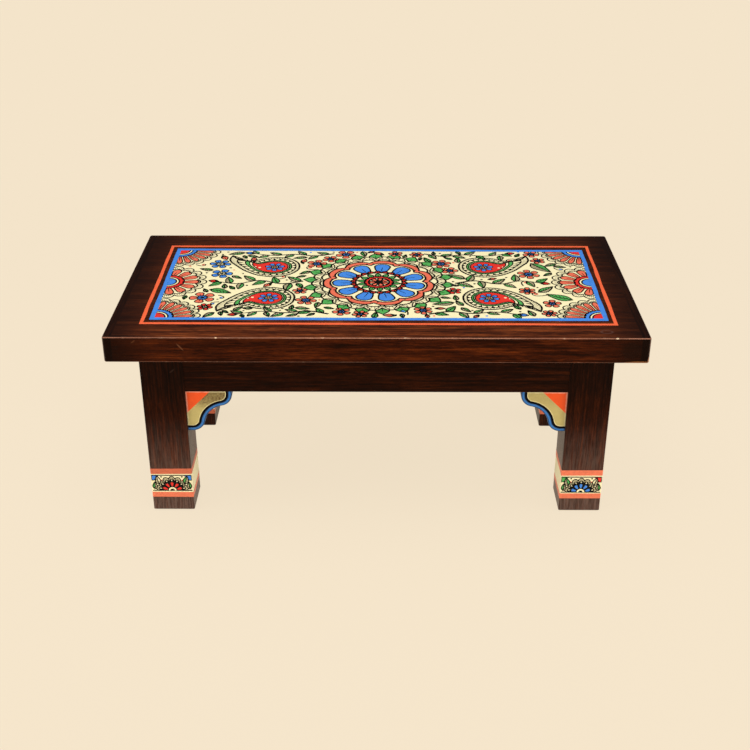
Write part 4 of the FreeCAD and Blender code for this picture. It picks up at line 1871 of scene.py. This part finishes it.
@dataclass
class CornerBracket:
    """Shaped bracket: two round lobes with a cove between them, painted in bands."""

    reach: float = 54.0
    nose: float = 5.5
    lobe_radius: float = 15.2
    cove_radius: float = 26.0
    thickness: float = 14.0
    setback: float = 4.0
    arris: float = 1.2
    blue_width: float = 4.2
    black_width: float = 2.9
    gold_width: float = 0.7
    diagonal: float = 29.8
    seat_bevel: float = 0.7
    arc_steps: int = 14
    plate_corners: int = 20
    slack: float = 0.01
    least_flat: float = 0.9

    def __post_init__(self) -> None:
        """Work out where the lobes and the cove have their centres."""
        self.lobe_place = self.reach - self.lobe_radius
        between = self.lobe_radius + self.cove_radius
        offset = self.lobe_place - self.nose
        root = math.sqrt(2 * between ** 2 - offset ** 2)
        self.cove_place = (self.lobe_place + self.nose + root) / 2
        self.sweep = math.atan2(self.cove_place - self.nose, self.cove_place - self.lobe_place)
        self.black_start = self.blue_width
        self.gold_start = self.blue_width + self.black_width
        self.field_start = self.gold_start + self.gold_width

    def section(self) -> list[Point]:
        """Section of the painted rim.

        Returns:
            Distances in from the free edge, and depths.
        """
        eased = [(self.arris * (1 - math.sin(math.radians(a))), self.arris * (1 - math.cos(math.radians(a))))
                 for a in (0, 30, 60, 90)]
        front = [(self.field_start, 0.0), (self.gold_start, 0.0), (self.black_start, 0.0)] + eased
        back = [(inset, self.thickness - depth) for inset, depth in reversed(front)]
        return front + [(0.0, self.thickness / 2)] + back

    def build_one(self, side: FrameSide, end: int, materials: list[Material]) -> None:
        """Build the bracket at one end of a side.

        Args:
            side: The side of the frame.
            end: 1 for its high end and -1 for its low end.
            materials: Finishes of the zones, in the order of Zone.
        """
        built = bmesh.new()
        self._rim(built)
        self._close(built)
        self._zones(built)
        self._ease_seats(built)
        bmesh.ops.triangulate(built, faces=[face for face in built.faces if len(face.verts) > 4])
        half_clear = side.clear_length / 2
        place = side.place() @ Matrix(((-end, 0, 0, end * half_clear), (0, 0, 1, self.setback),
                                       (0, -1, 0, side.apron_bottom), (0, 0, 0, 1)))
        bmesh.ops.transform(built, matrix=place, verts=built.verts)
        bmesh.ops.recalc_face_normals(built, faces=built.faces)
        corner = side.corners[0 if end < 0 else 1]
        node = f"bracket_{side.name}_{corner}"
        piece = finish_piece("painted_" + node, built, materials)
        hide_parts(node)

    def _rim(self, built: BMesh) -> None:
        """Sweep the rim's section along the free outline.

        Args:
            built: The empty mesh, in the bracket's own frame: across, down and deep.
        """
        corners = [built.verts.new((self.reach - inset, 0.0, depth)) for inset, depth in self.section()]
        edges = [built.edges.new(pair) for pair in zip(corners, corners[1:])]
        edges = self._extruded(built, edges, (0.0, self.nose, 0.0))
        cove_sweep = math.pi / 2 - 2 * self.sweep
        turns = ((self.lobe_place, self.nose, self.sweep), (self.cove_place, self.cove_place, cove_sweep),
                 (self.nose, self.lobe_place, self.sweep))
        for across, down, angle in turns:
            verts = list({vert for edge in edges for vert in edge.verts})
            spun = bmesh.ops.spin(built, geom=verts + edges, cent=(across, down, 0.0), axis=(0, 0, 1),
                                  angle=angle, steps=self.arc_steps, use_merge=False, use_duplicate=False)
            edges = [item for item in spun["geom_last"] if isinstance(item, bmesh.types.BMEdge)]
        self._extruded(built, edges, (-self.nose, 0.0, 0.0))

    @staticmethod
    def _extruded(built: BMesh, edges: list[bmesh.types.BMEdge],
                  way: Triple) -> list[bmesh.types.BMEdge]:
        """Extrude edges along a straight way.

        Args:
            built: The mesh.
            edges: The edges.
            way: How far on each axis.

        Returns:
            The new edges at the far end.
        """
        made = bmesh.ops.extrude_edge_only(built, edges=edges)["geom"]
        verts = [item for item in made if isinstance(item, bmesh.types.BMVert)]
        bmesh.ops.translate(built, vec=way, verts=verts)
        return [item for item in made if isinstance(item, bmesh.types.BMEdge)
                and all(vert in verts for vert in item.verts)]

    def _close(self, built: BMesh) -> None:
        """Close the two faces and the two seats against the apron and the leg.

        Args:
            built: The mesh.
        """
        open_edges = [edge for edge in built.edges if edge.is_boundary]
        on_apron = [edge for edge in open_edges if all(abs(vert.co.y) < TINY for vert in edge.verts)]
        on_leg = [edge for edge in open_edges if all(abs(vert.co.x) < TINY for vert in edge.verts)]
        rest = [edge for edge in open_edges if edge not in on_apron and edge not in on_leg]
        spine = built.edges.new([built.verts.new((0.0, 0.0, depth)) for depth in (0.0, self.thickness)])
        seats = {0: [*on_apron, spine], 1: [*on_leg, spine]}
        for corner, depth in zip(spine.verts, (0.0, self.thickness)):
            chain = [edge for edge in rest if all(abs(vert.co.z - depth) < TINY for vert in edge.verts)]
            verts = {vert for edge in chain for vert in edge.verts}
            for vert in [vert for vert in verts if min(abs(vert.co.x), abs(vert.co.y)) < TINY]:
                joined = built.edges.new((vert, corner))
                chain.append(joined)
                seats[0 if abs(vert.co.y) < TINY else 1].append(joined)
            bmesh.ops.contextual_create(built, geom=chain)
        for loop in seats.values():
            bmesh.ops.contextual_create(built, geom=loop)

    def _inset(self, across: float, down: float) -> float:
        """How far a point is in from the free edge.

        Args:
            across: Distance from the leg.
            down: Distance below the apron.

        Returns:
            The distance, no more than the bands are wide.
        """
        wide, low = max(across, down), min(across, down)
        turn = math.atan2(low - self.nose, wide - self.lobe_place)
        if low <= self.nose:
            found = self.reach - wide
        elif 0.0 <= turn <= self.sweep + TINY:
            found = self.lobe_radius - math.hypot(wide - self.lobe_place, low - self.nose)
        else:
            found = math.hypot(wide - self.cove_place, low - self.cove_place) - self.cove_radius
        return min(max(found, 0.0), self.field_start + 1.0)

    def _zones(self, built: BMesh) -> None:
        """Split the faces along the diagonal and give each zone its finish.

        Args:
            built: The mesh.
        """
        plates = [face for face in built.faces if len(face.verts) > self.plate_corners]
        geom = list({item for face in plates for item in (face, *face.edges, *face.verts)})
        middle = (self.diagonal / 2, self.diagonal / 2, 0.0)
        bmesh.ops.bisect_plane(built, geom=geom, dist=0.0001, plane_co=middle, plane_no=(1.0, 1.0, 0.0))
        built.normal_update()
        for face in built.faces:
            middle = face.calc_center_median()
            inset = self._inset(middle.x, middle.y)
            in_corner = all(vert.co.x + vert.co.y < self.diagonal + self.slack for vert in face.verts)
            if abs(face.normal.z) < self.least_flat:
                on_seat = min(middle.x, middle.y) < TINY and inset >= self.field_start
                zone = Zone.ORANGE if on_seat else Zone.BLUE
            elif in_corner or len(face.verts) > self.plate_corners:
                zone = Zone.ORANGE if in_corner else Zone.KHAKI
            elif inset < self.black_start:
                zone = Zone.BLUE
            else:
                zone = Zone.BLACK if inset < self.gold_start else Zone.GOLD
            face.material_index = zone.value
        layer = built.verts.layers.float.new("inset")
        places = built.loops.layers.uv.new("face_place")
        for vert in built.verts:
            vert[layer] = self._inset(vert.co.x, vert.co.y)
        for face in built.faces:
            for loop in face.loops:
                loop[places].uv = (loop.vert.co.x / self.reach, loop.vert.co.y / self.reach)

    def _ease_seats(self, built: BMesh) -> None:
        """Ease the arrises along the leg and the apron, so that they show as fine dark lines.

        Args:
            built: The mesh.
        """
        edges = []
        for edge in built.edges:
            first, second = (vert.co for vert in edge.verts)
            on_face = all(abs(co.z) < TINY for co in (first, second)) or \
                all(abs(co.z - self.thickness) < TINY for co in (first, second))
            on_seat = max(first.y, second.y) < TINY or max(first.x, second.x) < TINY
            short = max(first.x, second.x, first.y, second.y) < self.reach - self.field_start + TINY
            if on_face and on_seat and short:
                edges.append(edge)
        bmesh.ops.bevel(built, geom=edges, offset=self.seat_bevel, offset_type="OFFSET", affect="EDGES",
                        segments=2, profile=0.5, material=-1, clamp_overlap=True)


@dataclass(frozen=True)
class BracketRim:
    """Blue paint of the brackets' rims, with a painted highlight along its middle and painted shade at its
    edges.
    """

    colour: Colour
    middle: float = 2.5
    half: float = 1.8
    # Tones of the painted shade at the edges and of the painted highlight along the middle
    tones: Point = (0.34, 1.2)

    def material(self) -> Material:
        """The finish as a material.

        Returns:
            The new material.
        """
        tree = Tree("bracket_rim_blue")
        inset = tree.add("Attribute", {}, attribute_name="inset").outputs["Fac"]
        offset = tree.compute("ABSOLUTE", tree.less(inset, self.middle))
        cloud = tree.noise(tree.place, 240.0)
        # Painted highlight along the middle of the rim, painted shade away from it
        light = tree.step(tree.linear(tree.less(cloud, 0.5), 1.6, offset), 0.2, self.half, 1.0, 0.0)
        paint = tree.blend(light, *(scaled(self.colour, tone) for tone in self.tones))
        tree.bump(cloud, 0.0001)
        return tree.coat(paint, tree.linear(cloud, 0.2, 0.32), Specular_IOR_Level=0.3)


@dataclass(frozen=True)
class BracketPaint:
    """Bracket field paint, thin and pale along the leg and apron, brushed darker with painted shade under the
    apron.
    """

    name: str
    colour: Colour
    rim: Colour
    shade: Colour
    amount: float = 0.0

    # Where the dark brushwork with its painted shade and the pale rim begin and end, as shares of the
    # bracket's reach
    brushed_and_shaded_down = (0.30, 0.66)
    brushed_from_leg = (0.10, 0.34)
    pale_rim = (0.010, 0.042)

    def material(self) -> Material:
        """The finish as a material.

        Returns:
            The new material.
        """
        tree = Tree(self.name)
        face_place = tree.add("UVMap", {}, uv_map="face_place").outputs[0]
        across, down, _deep = tree.axes(face_place)
        cloud = tree.noise(tree.place, 180.0, 4.0, 0.6)
        streaks = tree.noise(tree.stretch(face_place, (22.0, 22.0, 1.0)), 1.0, 3.0, 0.6)
        # Brushwork darker under the apron, partly painted shade of the apron
        under = tree.step(tree.linear(streaks, 0.24, down), *self.brushed_and_shaded_down, 1.0, 0.0)
        share = tree.times(under, tree.step(across, *self.brushed_from_leg, 0.0, self.amount))
        dabs = tree.step(tree.noise(tree.place, 520.0, 2.0), 0.40, 0.60, 0.70, 1.0)
        paint = tree.blend(tree.times(share, dabs), self.colour, self.shade)
        near = tree.compute("MINIMUM", across, tree.linear(down, 1.3, -0.035))
        near = tree.linear(tree.less(cloud, 0.5), 0.03, near)
        paint = tree.blend(tree.step(near, *self.pale_rim, 0.7, 0.0), paint, self.rim)
        paint = tree.blend(tree.step(cloud, 0.35, 0.65, 0.0, 0.25), paint, scaled(self.colour, 0.82))
        tree.bump(cloud, 0.0001)
        return tree.coat(paint, tree.linear(cloud, 0.2, 0.34), Specular_IOR_Level=0.3)


@dataclass
class Brackets:
    """The eight painted brackets."""

    shape: CornerBracket = field(default_factory=CornerBracket)
    khaki: tuple[Colour, ...] = (srgb(199, 180, 112), srgb(236, 222, 172), srgb(94, 70, 33))
    orange: tuple[Colour, ...] = (srgb(244, 84, 22), srgb(252, 182, 154), srgb(244, 84, 22))
    gold: Colour = srgb(236, 220, 158)
    black: Colour = srgb(6, 6, 10)
    blue: Colour = srgb(46, 107, 172)

    def build(self) -> None:
        """Build a bracket at both ends of each side, its khaki brushed dark on the front left one."""
        brushed = BracketPaint("bracket_khaki_brushed", *self.khaki, 1.0).material()
        materials = [
            BracketPaint("bracket_orange", *self.orange).material(),
            BracketPaint("bracket_khaki", *self.khaki, 0.25).material(),
            PaintFinish("bracket_gold", self.gold, "painted_bracket").material(),
            PaintFinish("bracket_black", self.black, "painted_bracket", sheen=0.06).material(),
            BracketRim(self.blue).material(),
        ]
        for side in SIDES:
            for end in (-1, 1):
                front_left = (side.name, end) == ("front", -1)
                own = [materials[0], brushed, *materials[2:]] if front_left else materials
                self.shape.build_one(side, end, own)


@dataclass
class StudioCamera:
    """Camera at the photograph's viewing angle."""

    place: Triple = (0.006192, -1.323270, 0.822500)
    pitch: float = 0.4875
    yaw: float = -0.0065
    roll: float = -0.0006
    focal_pixels: float = 1174.33
    frame_pixels: float = 750.0
    sensor: float = 36.0
    nearest: float = 0.05
    farthest: float = 60.0

    def build(self) -> None:
        """Make the camera and give it to the scene."""
        data = bpy.data.cameras.new("studio_camera")
        data.sensor_width = self.sensor
        data.lens = self.focal_pixels / self.frame_pixels * self.sensor
        data.clip_start = self.nearest
        data.clip_end = self.farthest
        flat = math.cos(self.pitch)
        forward = Vector((math.sin(self.yaw) * flat, math.cos(self.yaw) * flat, -math.sin(self.pitch)))
        level = Vector((math.cos(self.yaw), -math.sin(self.yaw), 0.0))
        above = level.cross(forward)
        right = math.cos(self.roll) * level + math.sin(self.roll) * above
        top = -math.sin(self.roll) * level + math.cos(self.roll) * above
        camera = new_object("studio_camera", data)
        turned = Matrix((right, top, -forward)).transposed().to_4x4()
        camera.matrix_world = Matrix.Translation(self.place) @ turned
        bpy.context.scene.camera = camera
        log.info("camera: %.1f mm lens", data.lens)


@dataclass(frozen=True)
class Lamp:
    """Square soft lamp that looks at the table. Metres and watts."""

    name: str
    place: Triple
    power: float
    size: float
    aim: Triple = (0.0, 0.0, 0.15)

    def hang(self) -> None:
        """Put the lamp into the scene."""
        data = bpy.data.lights.new(self.name, "AREA")
        data.energy = self.power
        data.size = self.size
        lamp = new_object(self.name, data)
        lamp.location = self.place
        toward = Vector(self.aim) - Vector(self.place)
        lamp.rotation_euler = toward.to_track_quat("-Z", "Y").to_euler()


@dataclass
class Studio:
    """Pale floor, pale surround and soft lamps."""

    pale: Colour = srgb(244, 228, 202)
    white: Colour = (1.0, 0.985, 0.96, 1.0)
    bounce: float = 0.85
    sky_strength: float = 0.34
    sky_in_gloss: float = 0.07
    floor_half: float = 30.0
    floor_drop: float = 0.0002
    glow_reach: Point = (0.4, 1.4)
    lamps: tuple[Lamp, ...] = (
        Lamp("key", (-0.15, -0.35, 2.6), 44.0, 2.2),
        Lamp("fill", (0.5, -2.3, 0.7), 13.0, 2.0),
        Lamp("side_lamp", (-1.6, -0.55, 0.35), 19.5, 1.2),
        Lamp("side_lamp", (1.6, -0.55, 0.35), 19.5, 1.2),
    )

    def build(self) -> None:
        """Make the floor, the surround and the lamps."""
        self._floor()
        self._surround()
        for lamp in self.lamps:
            lamp.hang()
        bpy.context.scene.view_settings.view_transform = "Standard"
        log.info("studio ready")

    def _floor(self) -> None:
        """A wide floor that shows nothing from below, pale to the camera and dimmer as a light."""
        tree = Tree("studio_floor")
        rays = tree.add("LightPath", {}).outputs
        seen = tree.compute("MAXIMUM", rays["Is Camera Ray"], rays["Is Glossy Ray"])
        tree.coat(tree.blend(seen, scaled(self.pale, self.bounce), self.pale), 0.9, Specular_IOR_Level=0.0)
        glow = tree.add("Emission", {0: self.pale}).outputs[0]
        share = tree.times(seen, tree.step(tree.length(tree.place), *self.glow_reach, 0.92, 1.0))
        clear = tree.add("BsdfTransparent", {}).outputs[0]
        below = tree.add("NewGeometry", {}).outputs["Backfacing"]
        surface = tree.shader.outputs[0]
        for amount, other in ((share, glow), (below, clear)):
            surface = tree.add("MixShader", {0: amount, 1: surface, 2: other}).outputs[0]
        tree.feed(tree.output.inputs["Surface"], surface)
        built = bmesh.new()
        bmesh.ops.create_grid(built, x_segments=1, y_segments=1, size=self.floor_half)
        floor = new_object("floor", as_mesh("floor", built))
        floor.data.materials.append(tree.material)
        floor.location = (0.0, 0.0, -self.floor_drop)

    def _surround(self) -> None:
        """A pale surround for the camera, a dimmer even light on the table and dim reflections."""
        world = bpy.data.worlds.new("surround")
        world.use_nodes = True
        bpy.context.scene.world = world
        tree = Nodes(world.node_tree)
        rays = tree.add("LightPath", {}).outputs
        surface = tree.add("Background", {0: self.white, 1: self.sky_strength}).outputs[0]
        layers = ((self.white, self.sky_in_gloss, "Is Glossy Ray"), (self.pale, 1.0, "Is Camera Ray"))
        for colour, strength, ray in layers:
            light = tree.add("Background", {0: colour, 1: strength}).outputs[0]
            surface = tree.add("MixShader", {0: rays[ray], 1: surface, 2: light}).outputs[0]
        tree.add("OutputWorld", {0: surface})


def main() -> None:
    """Build the table's looks in order."""
    logging.basicConfig(level=logging.INFO, format="%(message)s")
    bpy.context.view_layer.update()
    StudioCamera().build()
    Studio().build()
    TableTop().build()
    Underframe().build()
    Brackets().build()
    LegBands().build()
    TopOrnament().build()


if __name__ == "__main__":
    main()
